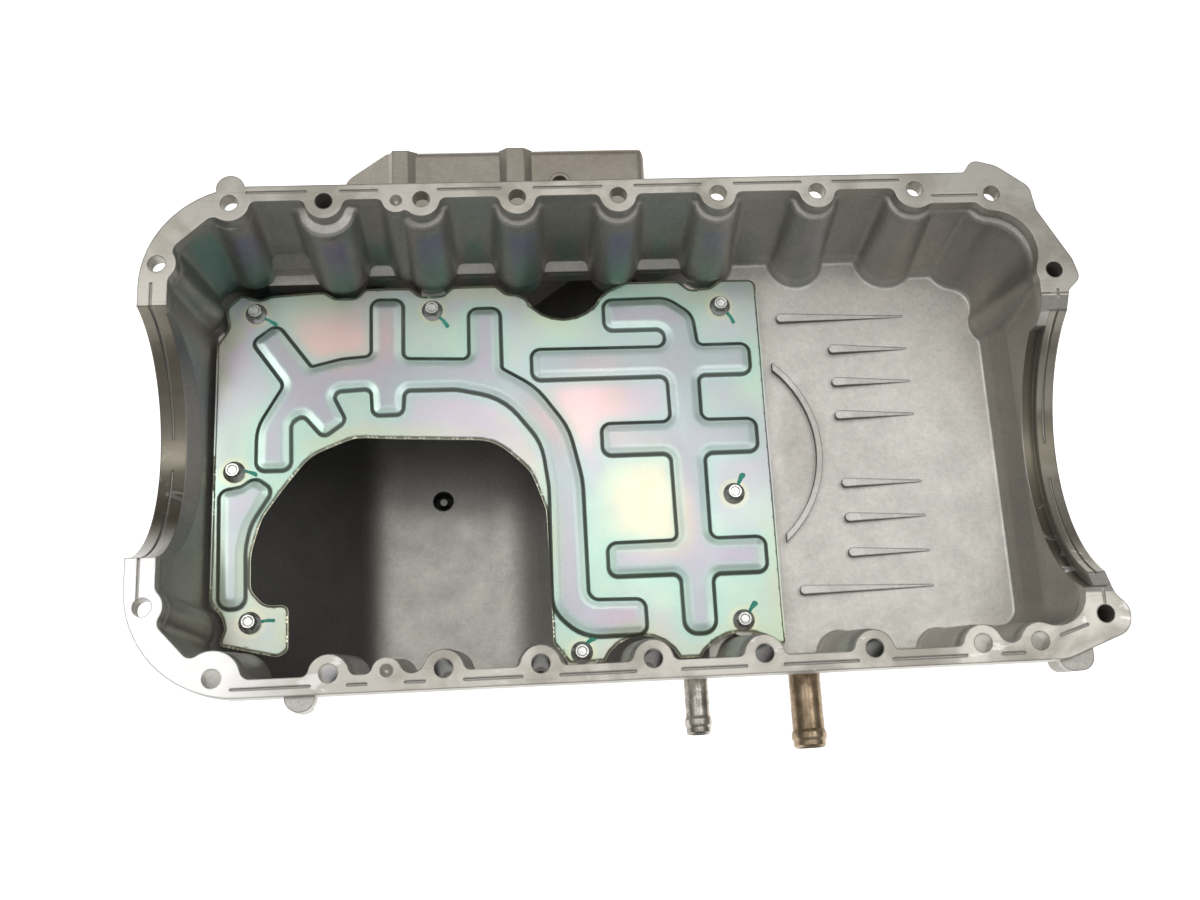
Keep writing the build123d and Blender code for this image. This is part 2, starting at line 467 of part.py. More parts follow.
# grooves that run down the two curved lands
for side, a, spans in ((-1, ARCH_L, ((12.3, 80.0), (-85.0, -4.6))), (1, ARCH_R, ((-8.2, 63.5), (-106.0, -28.3)))):
    xg = side * (HALF_LEN - (6.6 if side < 0 else 5.4))
    ring = rod_x(xg - G_W / 2, xg + G_W / 2, a["y"], a["z"], a["r"] + G_D)
    for y0, y1 in spans:
        pan -= ring & box(xg - 5, xg + 5, y0, y1, -90, 1)
    top = sorted((a["y"] + math.sqrt(a["r"] ** 2 - a["z"] ** 2) - 2, spans[0][1]))
    pan -= box(xg - G_W / 2, xg + G_W / 2, top[0], top[1], -G_D, 1)
    bot = sorted((a["y"] - math.sqrt(a["r"] ** 2 - a["z"] ** 2) + 2, spans[1][0]))
    pan -= box(xg - G_W / 2, xg + G_W / 2, bot[0], bot[1], -G_D, 1)

# nipple bores, drain bore, sensor bore, baffle bolt holes
for n in (NIPPLE_S, NIPPLE_L):
    pan -= Pos(n["x"], -121.0, n["z"]) * Rot(90, 0, 0) * Cylinder(n["od"] / 2, 16.2)
    pan -= Pos(n["x"], -113.0, n["z"]) * Rot(90, 0, 0) * Cylinder(n["idia"] / 2, 40.0)
pan -= rod(DRAIN[0], DRAIN[1], -190, DEEP_Z - 3.5, DRAIN_THREAD) + rod(DRAIN[0], DRAIN[1], -190, DEEP_Z + 2, DRAIN_THREAD - 1.6)
pan -= rod(-24.2, 154.0, SHOULDER_Z - 3.5, SHOULDER_Z + 10, 8.4)
for x, y in PLATE_BOLTS:
    pan -= rod(x, y, PAD_Z - 11.0 if x < 60 else FLOOR_Z - 3.5, PAD_Z + 1, BOLT_THREAD)

solids = pan.solids()
pan = max(solids, key=lambda q: q.volume)
parts = {"pan_casting": pan}

# ------------------------------------------------------------- baffle plate
def inset(pts, d):
    """Closed anticlockwise polygon of (x, y, radius), moved inward by d."""
    out = []
    n = len(pts)
    for i in range(n):
        p0, p1, p2 = pts[i - 1], pts[i], pts[(i + 1) % n]
        a = unit((p1[0] - p0[0], p1[1] - p0[1]))
        b = unit((p2[0] - p1[0], p2[1] - p1[1]))
        na, nb = (-a[1], a[0]), (-b[1], b[0])
        den = 1 + na[0] * nb[0] + na[1] * nb[1]
        x = p1[0] + d * (na[0] + nb[0]) / den
        y = p1[1] + d * (na[1] + nb[1]) / den
        turn = a[0] * b[1] - a[1] * b[0]
        r = p1[2] - d if turn > 0 else p1[2] + d
        out.append((x, y, max(r, 0.15)))
    return out


def ccw(pts):
    area = sum(pts[i - 1][0] * pts[i][1] - pts[i][0] * pts[i - 1][1] for i in range(len(pts)))
    return pts if area > 0 else pts[::-1]


def notch(cx, cy, r, a0, a1, steps):
    return [(cx + r * math.cos(math.radians(a0 + (a1 - a0) * i / steps)),
             cy + r * math.sin(math.radians(a0 + (a1 - a0) * i / steps)), 3.0) for i in range(steps + 1)]


PLATE_OUT = [(-218.9, -73.0, 6), (-212.0, -82.5, 6), (-210.6, -88.5, 5), (-213.6, -96.8, 2.5), (-198.5, -100.6, 20),
             (-182.5, -104.4, 5), (-177.4, -101.0, 4), (-177.6, -76.6, 4), (-190.0, -76.6, 9),
             (-197.6, -68.0, 9), (-197.8, -48.0, 30), (-192.5, -29.0, 30), (-181.5, -13.0, 40), (-167.0, 5.5, 26),
             (-143.0, 15.2, 22), (-118.0, 13.6, 60), (-66.0, 11.2, 26), (-46.5, -7.0, 26), (-38.6, -30.0, 24), (-37.4, -103.6, 3),
             (-29.6, -114.6, 3), (-10.6, -114.6, 2)]
PLATE_OUT += notch(9.7, -124.2, 22.6, 140, 40, 6)
PLATE_OUT += [(30.0, -114.6, 2), (41.0, -114.6, 2)]
PLATE_OUT += notch(64.2, -130.0, 28.0, 137, 47, 6)
PLATE_OUT += [(87.9, -109.4, 1.5), (87.9, 103.4, 5), (67.5, 103.6, 4), (61.0, 99.0, 5), (49.0, 98.0, 5), (42.5, 103.6, 4),
              (12.5, 103.6, 4), (1.5, 98.6, 5)]
PLATE_OUT += notch(-24.4, 106.2, 24.2, -27, -153, 8)
PLATE_OUT += [(-50.0, 97.4, 4), (-57.0, 98.6, 4), (-62.5, 103.5, 3), (-87.4, 103.5, 4), (-93.4, 98.2, 5), (-105.8, 98.2, 5),
              (-111.8, 103.5, 4), (-136.6, 103.6, 4), (-142.0, 98.2, 5), (-153.6, 98.2, 5), (-160.0, 102.4, 4),
              (-189.0, 100.6, 5), (-195.6, 98.2, 5), (-206.0, 101.6, 3), (-214.5, 93.2, 3), (-212.6, 81.5, 6), (-218.9, 72.0, 4)]
BEAD_BRANCH = [(-199.2, 72.2, 4), (-185.6, 82.6, 5), (-166.6, 56.6, 2), (-150.0, 60.6, 20), (-133.2, 61.9, 4), (-133.2, 95.8, 5),
               (-115.6, 95.4, 5), (-115.8, 59.9, 4), (-78.6, 58.4, 4), (-78.4, 88.8, 5), (-60.9, 88.8, 5), (-60.9, 52.4, 3),
               (-42.0, 40.8, 40), (-24.6, 16.0, 40), (-18.2, -14.0, 60), (-17.8, -81.4, 6), (12.6, -82.2, 5), (12.9, -101.0, 5),
               (-22.0, -101.2, 26), (-37.2, -86.0, 18), (-36.4, -18.0, 60), (-39.6, 8.0, 34), (-60.0, 35.0, 40), (-86.0, 41.0, 24),
               (-115.2, 41.3, 4), (-116.2, 27.2, 4), (-132.6, 27.2, 4), (-133.4, 42.9, 4), (-155.8, 41.8, 4), (-147.4, 24.4, 4),
               (-159.6, 15.4, 4), (-170.8, 28.8, 4), (-177.4, 24.4, 6), (-177.0, -2.6, 5), (-195.6, -2.4, 5), (-195.6, 22.0, 26),
               (-181.2, 46.4, 5)]
BEAD_DROP = [(-214.9, -13.4, 5), (-203.6, -11.6, 8), (-196.0, -6.4, 5.5), (-186.4, -13.6, 5), (-198.4, -33.0, 30), (-200.6, -46.0, 30),
             (-199.9, -77.8, 6), (-213.8, -77.8, 6)]
BEAD_COMB = [(-1.5, 91.9, 5), (-1.5, 73.5, 5), (32.6, 73.5, 5), (32.6, 62.5, 5), (-43.6, 63.0, 5), (-43.6, 44.9, 5), (32.6, 44.9, 5),
             (33.1, 17.6, 5), (-5.9, 17.6, 5), (-5.9, -0.6, 5), (32.0, -0.6, 5), (32.6, -50.4, 4), (-5.9, -50.8, 5), (-5.9, -69.0, 5),
             (33.2, -69.0, 5), (33.6, -101.8, 7), (50.4, -101.8, 7), (50.4, -69.6, 5), (80.7, -69.6, 5), (80.7, -50.2, 5),
             (50.6, -50.2, 5), (50.6, -1.0, 5), (80.9, -1.0, 5), (80.9, 18.0, 5), (50.2, 18.2, 5), (50.2, 45.0, 4), (80.3, 45.0, 5),
             (80.3, 63.0, 5), (51.0, 63.0, 4), (49.0, 82.0, 12), (35.0, 92.4, 16)]


def pad_loft(pts, z0, z1, d0, d1):
    pts = ccw(pts)
    return loft_solid(rounded_wire(inset(pts, d0), z0), rounded_wire(inset(pts, d1), z1))


base = PLATE_TOP - PLATE_T
out = ccw(PLATE_OUT)
plate = prism(rounded_wire(out, base), PLATE_T)
for bead in (BEAD_BRANCH, BEAD_DROP, BEAD_COMB):
    plate += pad_loft(bead, PLATE_TOP - 0.4, PLATE_TOP + BEAD_H, -1.4, 1.1)
for bead in (BEAD_BRANCH, BEAD_DROP, BEAD_COMB):
    plate -= pad_loft(bead, base - 0.1, base + BEAD_H, -0.3, 2.0)
# turned-down lip along the free right edge and the far edge
plate += box(87.9 - PLATE_T, 87.9, -104.0, 96.0, base - LIP_H + PLATE_T, base + 0.5)
plate += box(-218.9, -218.9 + PLATE_T, -66.0, -12.5, base - LIP_H + PLATE_T, base + 0.5)
plate += box(-218.9, -218.9 + PLATE_T, 7.5, 64.0, base - LIP_H + PLATE_T, base + 0.5)
for x, y in PLATE_BOLTS:
    plate -= rod(x, y, base - 1, PLATE_TOP + 1, 6.6)
parts["baffle_plate"] = plate.solids()[0] if len(plate.solids()) == 1 else plate
print("plate solids", [round(q.volume) for q in plate.solids()])

# ------------------------------------------------------------- baffle bolts
def flange_bolt(x, y):
    z = PLATE_TOP
    fl = loft_solid(Wire.make_circle(HEAD_FLANGE_D / 2, Plane(origin=(x, y, z + 1.0))),
                    Wire.make_circle(4.0, Plane(origin=(x, y, z + 2.6))))
    b = rod(x, y, z, z + 1.0, HEAD_FLANGE_D) + fl
    hexa = Pos(x, y, z + 1.0) * extrude(RegularPolygon(HEAD_AF / 2, 6, major_radius=False), amount=HEAD_H - 1.0)
    hexa = hexa & (Pos(x, y, z + HEAD_H / 2) * Cylinder(HEAD_AF / 2 + 0.45, HEAD_H)) & \
        loft_solid(Wire.make_circle(HEAD_AF / 2 + 5.0, Plane(origin=(x, y, z - 2.4))), Wire.make_circle(HEAD_AF / 2 - 0.5, Plane(origin=(x, y, z + HEAD_H))))
    b += hexa
    b -= loft_solid(Wire.make_circle(2.2, Plane(origin=(x, y, z + HEAD_H - 0.6))), Wire.make_circle(2.7, Plane(origin=(x, y, z + HEAD_H + 0.01))))
    length = 9.5 if x < 60 else 8.6
    b += rod(x, y, z - length + 0.8, z + 0.5, BOLT_THREAD)
    b += loft_solid(Wire.make_circle(BOLT_THREAD / 2 - 0.8, Plane(origin=(x, y, z - length))), Wire.make_circle(BOLT_THREAD / 2, Plane(origin=(x, y, z - length + 0.8))))
    return b


BOLT_NAMES = ["baffle_bolt_corner_far_left", "baffle_bolt_far_middle", "baffle_bolt_corner_far_right", "baffle_bolt_left_middle",
              "baffle_bolt_right_middle", "baffle_bolt_corner_near_left", "baffle_bolt_corner_near_right", "baffle_bolt_near_middle"]
for name, (x, y) in zip(BOLT_NAMES, PLATE_BOLTS):
    parts[name] = flange_bolt(x, y)

# ------------------------------------------------------------- hose nipples
def nipple(n):
    r, ri, tip = n["od"] / 2, n["idia"] / 2, n["y_tip"]
    prof = [(ri, -122.4), (r, -122.4), (r, tip + 9.0), (r + 0.75, tip + 7.2), (r + 0.75, tip + 4.6), (r + 0.1, tip + 3.2), (r + 0.1, tip + 1.0), (r - 0.7, tip), (ri, tip)]
    f = make_face(Polyline(*[(x, 0, y) for x, y in prof], close=True))
    s = revolve(f, Axis((0, 0, 0), (0, 0, 1)), 360)
    return Pos(n["x"], 0, n["z"]) * Rot(-90, 0, 0) * s


parts["hose_nipple_small"] = nipple(NIPPLE_S)
parts["hose_nipple_large"] = nipple(NIPPLE_L)

# ------------------------------------------------------------- drain plug
dx_, dy_ = DRAIN
zf = DEEP_Z - DEEP_T - 5.0
parts["drain_washer"] = rod(dx_, dy_, zf - 1.5, zf, 22.0) - rod(dx_, dy_, zf - 3, zf + 1, DRAIN_THREAD + 0.4)
plug = rod(dx_, dy_, zf - 1.5 - 3.0, zf - 1.5, 21.0)
plug += Pos(dx_, dy_, zf - 1.5 - 3.0 - 7.0) * extrude(RegularPolygon(8.5, 6, major_radius=False), amount=7.0)
plug += rod(dx_, dy_, zf - 2.0, DEEP_Z - 4.0, DRAIN_THREAD)
plug -= rod(dx_, dy_, DEEP_Z - 14.0, DEEP_Z, DRAIN_THREAD - 2.0) - rod(dx_, dy_, DEEP_Z - 15.0, DEEP_Z + 1, 4.4)
parts["drain_plug"] = plug

os.makedirs("parts", exist_ok=True)
for name, shape in parts.items():
    shape = Pos(*TO_ORIGIN) * shape
    export_step(shape, f"parts/{name}.step")
    print(name, len(shape.solids()), round(shape.volume, 1), shape.bounding_box())
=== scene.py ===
import math
import bpy
import numpy as np
from mathutils import Vector, Matrix, Euler
from mathutils.geometry import delaunay_2d_cdt


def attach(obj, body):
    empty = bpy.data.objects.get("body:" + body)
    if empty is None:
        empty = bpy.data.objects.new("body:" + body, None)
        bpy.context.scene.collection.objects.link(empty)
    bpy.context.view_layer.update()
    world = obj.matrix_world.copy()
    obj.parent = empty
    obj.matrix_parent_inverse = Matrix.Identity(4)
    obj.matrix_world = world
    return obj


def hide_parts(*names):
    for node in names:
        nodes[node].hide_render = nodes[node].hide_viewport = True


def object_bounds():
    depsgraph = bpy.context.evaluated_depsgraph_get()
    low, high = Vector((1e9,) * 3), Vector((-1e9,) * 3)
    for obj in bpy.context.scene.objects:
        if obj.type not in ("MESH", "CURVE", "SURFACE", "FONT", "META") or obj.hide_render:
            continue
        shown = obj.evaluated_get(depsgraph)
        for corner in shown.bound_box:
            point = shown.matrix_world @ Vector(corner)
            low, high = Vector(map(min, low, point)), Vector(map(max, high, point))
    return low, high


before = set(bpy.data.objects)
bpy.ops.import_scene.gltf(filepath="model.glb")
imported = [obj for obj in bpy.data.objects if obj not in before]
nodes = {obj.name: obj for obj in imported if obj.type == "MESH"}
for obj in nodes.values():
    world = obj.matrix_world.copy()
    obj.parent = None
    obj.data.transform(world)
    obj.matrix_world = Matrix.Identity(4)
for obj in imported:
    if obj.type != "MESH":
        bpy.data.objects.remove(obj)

cad_box = [[float(c) for c in p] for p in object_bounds()]
MM = 0.001
# the drawing's own middle, from which all positions below are given
OFF = Vector((0.234, -0.0014, 0.0))
rng = np.random.default_rng(7)

# ------------------------------------------------------------------ the stage
scene = bpy.context.scene
scene.view_settings.view_transform = "Standard"
scene.view_settings.look = "None"
scene.view_settings.exposure = 0.0
scene.view_settings.gamma = 1.0


def new_obj(name, verts, faces, smooth=True):
    me = bpy.data.meshes.new(name)
    me.from_pydata([tuple(v) for v in verts], [], [tuple(f) for f in faces])
    me.validate()
    me.update()
    if smooth:
        me.polygons.foreach_set("use_smooth", [True] * len(me.polygons))
    ob = bpy.data.objects.new(name, me)
    scene.collection.objects.link(ob)
    return ob


class G:
    """Small helper that wires shader nodes."""

    def __init__(self, name):
        self.mat = bpy.data.materials.new(name)
        self.mat.use_nodes = True
        self.nt = self.mat.node_tree
        self.nt.nodes.clear()
        self.out = self.n("ShaderNodeOutputMaterial")
        self.bsdf = self.n("ShaderNodeBsdfPrincipled")
        self.nt.links.new(self.bsdf.outputs[0], self.out.inputs[0])
        self.tc = self.n("ShaderNodeTexCoord")
        mid = self.nt.nodes.new("ShaderNodeVectorMath")
        mid.operation = "SUBTRACT"
        mid.inputs[1].default_value = tuple(OFF)
        self.nt.links.new(self.tc.outputs["Object"], mid.inputs[0])
        self.pos = mid.outputs[0]

    def n(self, kind, **kw):
        nd = self.nt.nodes.new(kind)
        for k, v in kw.items():
            setattr(nd, k, v)
        return nd

    def link(self, a, b):
        self.nt.links.new(a, b)

    def put(self, sock, v):
        if isinstance(v, bpy.types.NodeSocket):
            self.link(v, sock)
        elif isinstance(v, (tuple, list)) and sock.type == "RGBA" and len(v) == 3:
            sock.default_value = (*v, 1.0)
        else:
            sock.default_value = v

    def math(self, op, a, b=0.0, c=None, clamp=False):
        nd = self.n("ShaderNodeMath", operation=op, use_clamp=clamp)
        self.put(nd.inputs[0], a)
        self.put(nd.inputs[1], b)
        if c is not None:
            self.put(nd.inputs[2], c)
        return nd.outputs[0]

    def vmath(self, op, a, b=(0, 0, 0)):
        nd = self.n("ShaderNodeVectorMath", operation=op)
        self.put(nd.inputs[0], a)
        self.put(nd.inputs[1], b)
        return nd.outputs["Value"] if op in ("LENGTH", "DOT_PRODUCT", "DISTANCE") else nd.outputs[0]

    def xyz(self, v=None):
        nd = self.n("ShaderNodeSeparateXYZ")
        self.link(v if v is not None else self.pos, nd.inputs[0])
        return nd.outputs[0], nd.outputs[1], nd.outputs[2]

    def comb(self, x, y, z):
        nd = self.n("ShaderNodeCombineXYZ")
        for i, v in enumerate((x, y, z)):
            self.put(nd.inputs[i], v)
        return nd.outputs[0]

    def scale(self, v, s):
        nd = self.n("ShaderNodeMapping")
        self.link(v, nd.inputs[0])
        nd.inputs["Scale"].default_value = s if isinstance(s, (tuple, list)) else (s, s, s)
        return nd.outputs[0]

    def noise(self, v, scale, detail=4.0, rough=0.55, lac=2.0, dist=0.0, col=False):
        nd = self.n("ShaderNodeTexNoise")
        self.link(v, nd.inputs["Vector"])
        nd.inputs["Scale"].default_value = scale
        nd.inputs["Detail"].default_value = detail
        nd.inputs["Roughness"].default_value = rough
        nd.inputs["Lacunarity"].default_value = lac
        nd.inputs["Distortion"].default_value = dist
        return nd.outputs[1] if col else nd.outputs[0]

    def voronoi(self, v, scale, feature="F1", rand=1.0):
        nd = self.n("ShaderNodeTexVoronoi", feature=feature)
        self.link(v, nd.inputs["Vector"])
        nd.inputs["Scale"].default_value = scale
        nd.inputs["Randomness"].default_value = rand
        return nd.outputs[0]

    def wave(self, v, scale, dist=0.0, detail=2.0, bands="X", dscale=1.0, typ="BANDS"):
        nd = self.n("ShaderNodeTexWave", wave_type=typ, bands_direction=bands)
        self.link(v, nd.inputs["Vector"])
        nd.inputs["Scale"].default_value = scale
        nd.inputs["Distortion"].default_value = dist
        nd.inputs["Detail"].default_value = detail
        nd.inputs["Detail Scale"].default_value = dscale
        return nd.outputs[0]

    def ramp(self, f, stops, interp="LINEAR"):
        nd = self.n("ShaderNodeValToRGB")
        nd.color_ramp.interpolation = interp
        cr = nd.color_ramp
        while len(cr.elements) > 1:
            cr.elements.remove(cr.elements[-1])
        cr.elements[0].position = stops[0][0]
        cr.elements[0].color = (*stops[0][1], 1) if isinstance(stops[0][1], (tuple, list)) else (stops[0][1],) * 3 + (1,)
        for p, c in stops[1:]:
            e = cr.elements.new(p)
            e.color = (*c, 1) if isinstance(c, (tuple, list)) else (c, c, c, 1)
        self.link(f, nd.inputs[0])
        return nd.outputs[0]

    def step(self, v, lo, hi):
        nd = self.n("ShaderNodeMapRange", interpolation_type="SMOOTHSTEP")
        self.put(nd.inputs["Value"], v)
        nd.inputs["From Min"].default_value = lo
        nd.inputs["From Max"].default_value = hi
        nd.inputs["To Min"].default_value = 0.0
        nd.inputs["To Max"].default_value = 1.0
        return nd.outputs[0]

    def remap(self, v, a, b, c, d):
        nd = self.n("ShaderNodeMapRange")
        self.put(nd.inputs["Value"], v)
        nd.inputs["From Min"].default_value = a
        nd.inputs["From Max"].default_value = b
        nd.inputs["To Min"].default_value = c
        nd.inputs["To Max"].default_value = d
        return nd.outputs[0]

    def mix(self, f, a, b, blend="MIX"):
        nd = self.n("ShaderNodeMix", data_type="RGBA", blend_type=blend)
        self.put(nd.inputs[0], f)
        self.put(nd.inputs[6], a)
        self.put(nd.inputs[7], b)
        return nd.outputs[2]

    def fmix(self, f, a, b):
        nd = self.n("ShaderNodeMix", data_type="FLOAT")
        self.put(nd.inputs[0], f)
        self.put(nd.inputs[2], a)
        self.put(nd.inputs[3], b)
        return nd.outputs[0]

    def bump(self, h, dist, strength=1.0, normal=None):
        nd = self.n("ShaderNodeBump")
        nd.inputs["Strength"].default_value = strength
        nd.inputs["Distance"].default_value = dist
        self.link(h, nd.inputs["Height"])
        if normal is not None:
            self.link(normal, nd.inputs["Normal"])
        return nd.outputs[0]

    def bevel(self, radius, samples=6):
        nd = self.n("ShaderNodeBevel", samples=samples)
        nd.inputs["Radius"].default_value = radius
        return nd.outputs[0]

    def attr(self, name):
        nd = self.n("ShaderNodeAttribute", attribute_type="GEOMETRY", attribute_name=name)
        return nd

    def set(self, **kw):
        names = dict(color="Base Color", metallic="Metallic", rough="Roughness", normal="Normal", ior="IOR",
                     coat="Coat Weight", coat_rough="Coat Roughness", aniso="Anisotropic", spec="Specular IOR Level")
        for k, v in kw.items():
            self.put(self.bsdf.inputs[names[k]], v)


def rgb(r, g, b):
    """sRGB 0-255 to linear."""
    out = []
    for c in (r, g, b):
        c /= 255.0
        out.append(c / 12.92 if c <= 0.04045 else ((c + 0.055) / 1.055) ** 2.4)
    return tuple(out)


# ------------------------------------------------------------------ materials
ARCH_L = (1.9 * MM, 11.2 * MM, 66.1 * MM)
ARCH_R = (-18.4 * MM, 31.7 * MM, 80.3 * MM)


def casting_material():
    g = G("cast_aluminium")
    x, y, z = g.xyz()
    nrm = g.n("ShaderNodeNewGeometry").outputs["Normal"]
    nx, ny, nz = g.xyz(nrm)
    # masks: milled gasket face and the two bored lands
    top = g.math("MULTIPLY", g.step(z, -0.00035, -0.0002), g.step(nz, 0.75, 0.9))
    lands = None
    for cy, cz, r, lo, hi in ((*ARCH_L, -1, 0.2285), (*ARCH_R, 1, 0.2333), (ARCH_R[0], ARCH_R[1], 85.6 * MM, 1, 0.2275)):
        dy = g.math("SUBTRACT", y, cy)
        dz = g.math("SUBTRACT", z, cz)
        rad = g.math("SQRT", g.math("ADD", g.math("MULTIPLY", dy, dy), g.math("MULTIPLY", dz, dz)))
        near = g.math("SUBTRACT", 1.0, g.step(g.math("ABSOLUTE", g.math("SUBTRACT", rad, r)), 0.0003, 0.0006))
        side = g.math("GREATER_THAN", g.math("MULTIPLY", x, float(lo)), hi)
        m = g.math("MULTIPLY", near, side)
        m = g.math("MULTIPLY", m, g.step(g.math("ABSOLUTE", nx), 0.6, 0.4))
        lands = m if lands is None else g.math("MAXIMUM", lands, m)
    milled = g.math("MAXIMUM", top, lands, clamp=True)

    # as-cast skin
    big = g.noise(g.pos, 9.0, 3.0, 0.5)
    mid = g.noise(g.pos, 60.0, 4.0, 0.6)
    fine = g.noise(g.pos, 900.0, 3.0, 0.65)
    grit = g.voronoi(g.pos, 1100.0)
    cast = g.mix(g.step(big, 0.35, 0.65), rgb(206, 202, 194), rgb(222, 218, 210))
    cast = g.mix(g.math("MULTIPLY", g.step(mid, 0.45, 0.75), 0.16), cast, rgb(190, 185, 176))
    cast = g.mix(g.remap(fine, 0.3, 0.7, 0.0, 0.5), cast, g.mix(1.0, cast, (0.62, 0.62, 0.62), "MULTIPLY"))
    # painted shade: the deep well darker than the rest of the casting
    deep = g.step(z, -0.080, -0.100)
    cast = g.mix(g.math("MULTIPLY", deep, 0.16), cast, rgb(120, 117, 112))
    # painted light: the shallow floor at the right end brightened
    shallow = g.math("MULTIPLY", g.step(x, 0.082, 0.100), g.step(z, -0.068, -0.071))
    cast = g.mix(g.math("MULTIPLY", shallow, 0.45), cast, rgb(238, 235, 228))
    dlens = g.vmath("LENGTH", g.vmath("MULTIPLY", g.vmath("SUBTRACT", g.pos, (0.108, 0.004, 0.0)), (1.0, 0.42, 0.0)))
    lens = g.math("MULTIPLY", shallow, g.step(dlens, 0.017, 0.009))
    cast = g.mix(g.math("MULTIPLY", lens, 0.28), cast, rgb(150, 144, 134))
    # painted shade: the left wall below the flange darker
    leftw = g.math("MULTIPLY", g.step(x, -0.212, -0.220), g.step(z, -0.004, -0.012))
    cast = g.mix(g.math("MULTIPLY", leftw, 0.22), cast, rgb(120, 117, 112))
    # painted shade: the sloped left side of the deep well darkened
    slope = g.math("MULTIPLY", g.step(x, -0.130, -0.150), g.step(z, -0.078, -0.092))
    cast = g.mix(g.math("MULTIPLY", slope, 0.8), cast, rgb(104, 102, 98))
    cham = g.math("MULTIPLY", g.step(y, 0.1335, 0.1365), g.step(z, -0.020, -0.026))
    cast = g.mix(g.math("MULTIPLY", cham, g.remap(big, 0.35, 0.65, 0.5, 0.9)), cast, rgb(142, 130, 112))
    # bluish-green and violet film left on the upright walls
    wall = g.math("MULTIPLY", g.step(g.math("ABSOLUTE", nz), 0.75, 0.35), g.step(z, -0.004, -0.014))
    grain = g.noise(g.pos, 320.0, 3.0, 0.7)
    # painted shade: the upright walls a little darker
    cast = g.mix(g.math("MULTIPLY", wall, 0.06), cast, rgb(140, 138, 134))
    film = g.noise(g.scale(g.pos, (1.0, 1.0, 0.4)), 30.0, 3.0, 0.55)
    film2 = g.noise(g.scale(g.pos, (1.0, 1.0, 0.35)), 19.0, 2.0, 0.5)

    def strip(cx, half, w):
        d = g.math("ABSOLUTE", g.math("SUBTRACT", g.math("ADD", x, g.math("MULTIPLY", g.math("SUBTRACT", film2, 0.5), 0.010)), cx * MM))
        return g.math("MULTIPLY", g.step(d, half * MM, half * 0.25 * MM), w)
    # only on the inside of the walls
    indoors = g.math("MULTIPLY", g.step(g.math("ABSOLUTE", y), 0.1210, 0.1190), g.step(x, -0.2375, -0.2350))
    farside = g.math("MULTIPLY", g.math("MULTIPLY", wall, g.step(y, 0.085, 0.095)), g.math("MULTIPLY", indoors, g.step(ny, 0.30, 0.05)))
    fronts = None
    for cx, w in ((-196.0, 0.9), (-147.5, 1.0), (-97.0, 0.9), (-46.5, 0.9), (7.0, 0.8), (60.5, 0.55), (114.0, 0.3)):
        m = strip(cx, 10.5, w)
        fronts = m if fronts is None else g.math("MAXIMUM", fronts, m)
    panels = None
    for cx, w in ((-214.0, 1.0), (-124.5, 0.8), (-73.5, 1.0), (-21.5, 0.55), (32.0, 0.75), (86.0, 0.35)):
        m = strip(cx, 10.0, w)
        panels = m if panels is None else g.math("MAXIMUM", panels, m)
    low = g.step(g.math("ADD", z, g.math("MULTIPLY", g.math("SUBTRACT", film, 0.5), 0.03)), -0.030, -0.062)
    violet = g.math("MULTIPLY", g.math("MULTIPLY", fronts, farside), g.math("MULTIPLY", g.math("SUBTRACT", 1.0, low), g.step(z, -0.012, -0.024)))
    teal = g.math("MULTIPLY", farside, g.math("MAXIMUM", g.math("MULTIPLY", fronts, low), g.math("MULTIPLY", panels, g.step(film, 0.3, 0.6))))
    cast = g.mix(g.math("MULTIPLY", violet, 0.72), cast, rgb(164, 162, 200))
    cast = g.mix(g.math("MULTIPLY", teal, 0.72), cast, rgb(142, 192, 184))
    # thinner traces on the other walls
    rest = g.math("MULTIPLY", g.math("MULTIPLY", wall, indoors), g.step(x, 0.05, -0.10))
    cast = g.mix(g.math("MULTIPLY", rest, g.math("MULTIPLY", g.step(film, 0.5, 0.7), 0.4)), cast, rgb(120, 152, 146))
    cast = g.mix(g.math("MULTIPLY", rest, g.math("MULTIPLY", g.step(film2, 0.5, 0.72), 0.35)), cast, rgb(140, 136, 164))
    cast = g.mix(g.remap(grain, 0.32, 0.7, 0.0, 0.42), cast, g.mix(1.0, cast, (0.66, 0.66, 0.66), "MULTIPLY"))
    # painted shade along the flanks of the floor ribs
    rib = g.math("MULTIPLY", g.step(x, 0.090, 0.094), g.step(x, 0.180, 0.177))
    rib = g.math("MULTIPLY", rib, g.step(g.math("ABSOLUTE", y), 0.0865, 0.0850))
    rib = g.math("MULTIPLY", rib, g.math("MULTIPLY", g.step(z, -0.0769, -0.0766), g.step(nz, 0.96, 0.80)))
    cast = g.mix(g.math("MULTIPLY", rib, 0.8), cast, rgb(84, 80, 74))
    # painted shade: the right wall darker
    rightw = g.math("MULTIPLY", wall, g.step(x, 0.190, 0.200))
    cast = g.mix(g.math("MULTIPLY", rightw, 0.42), cast, rgb(120, 115, 107))
    # painted shade: the floor of the deep well darker still
    cast = g.mix(g.math("MULTIPLY", g.step(z, -0.150, -0.156), 0.16), cast, rgb(136, 131, 124))
    # painted shade inside the deep bolt holes of the near row
    inhole = None
    for hx in (-91.4, -44.9, 9.6, 64.1, 118.6):
        dh = g.vmath("LENGTH", g.vmath("MULTIPLY", g.vmath("SUBTRACT", g.pos, (hx * MM, -0.1232, 0.0)), (1.0, 1.0, 0.0)))
        m = g.math("MULTIPLY", g.step(dh, 0.0050, 0.0048), g.step(z, -0.0012, -0.0022))
        inhole = m if inhole is None else g.math("MAXIMUM", inhole, m)
    cast = g.mix(g.math("MULTIPLY", inhole, 0.9), cast, rgb(44, 42, 39))
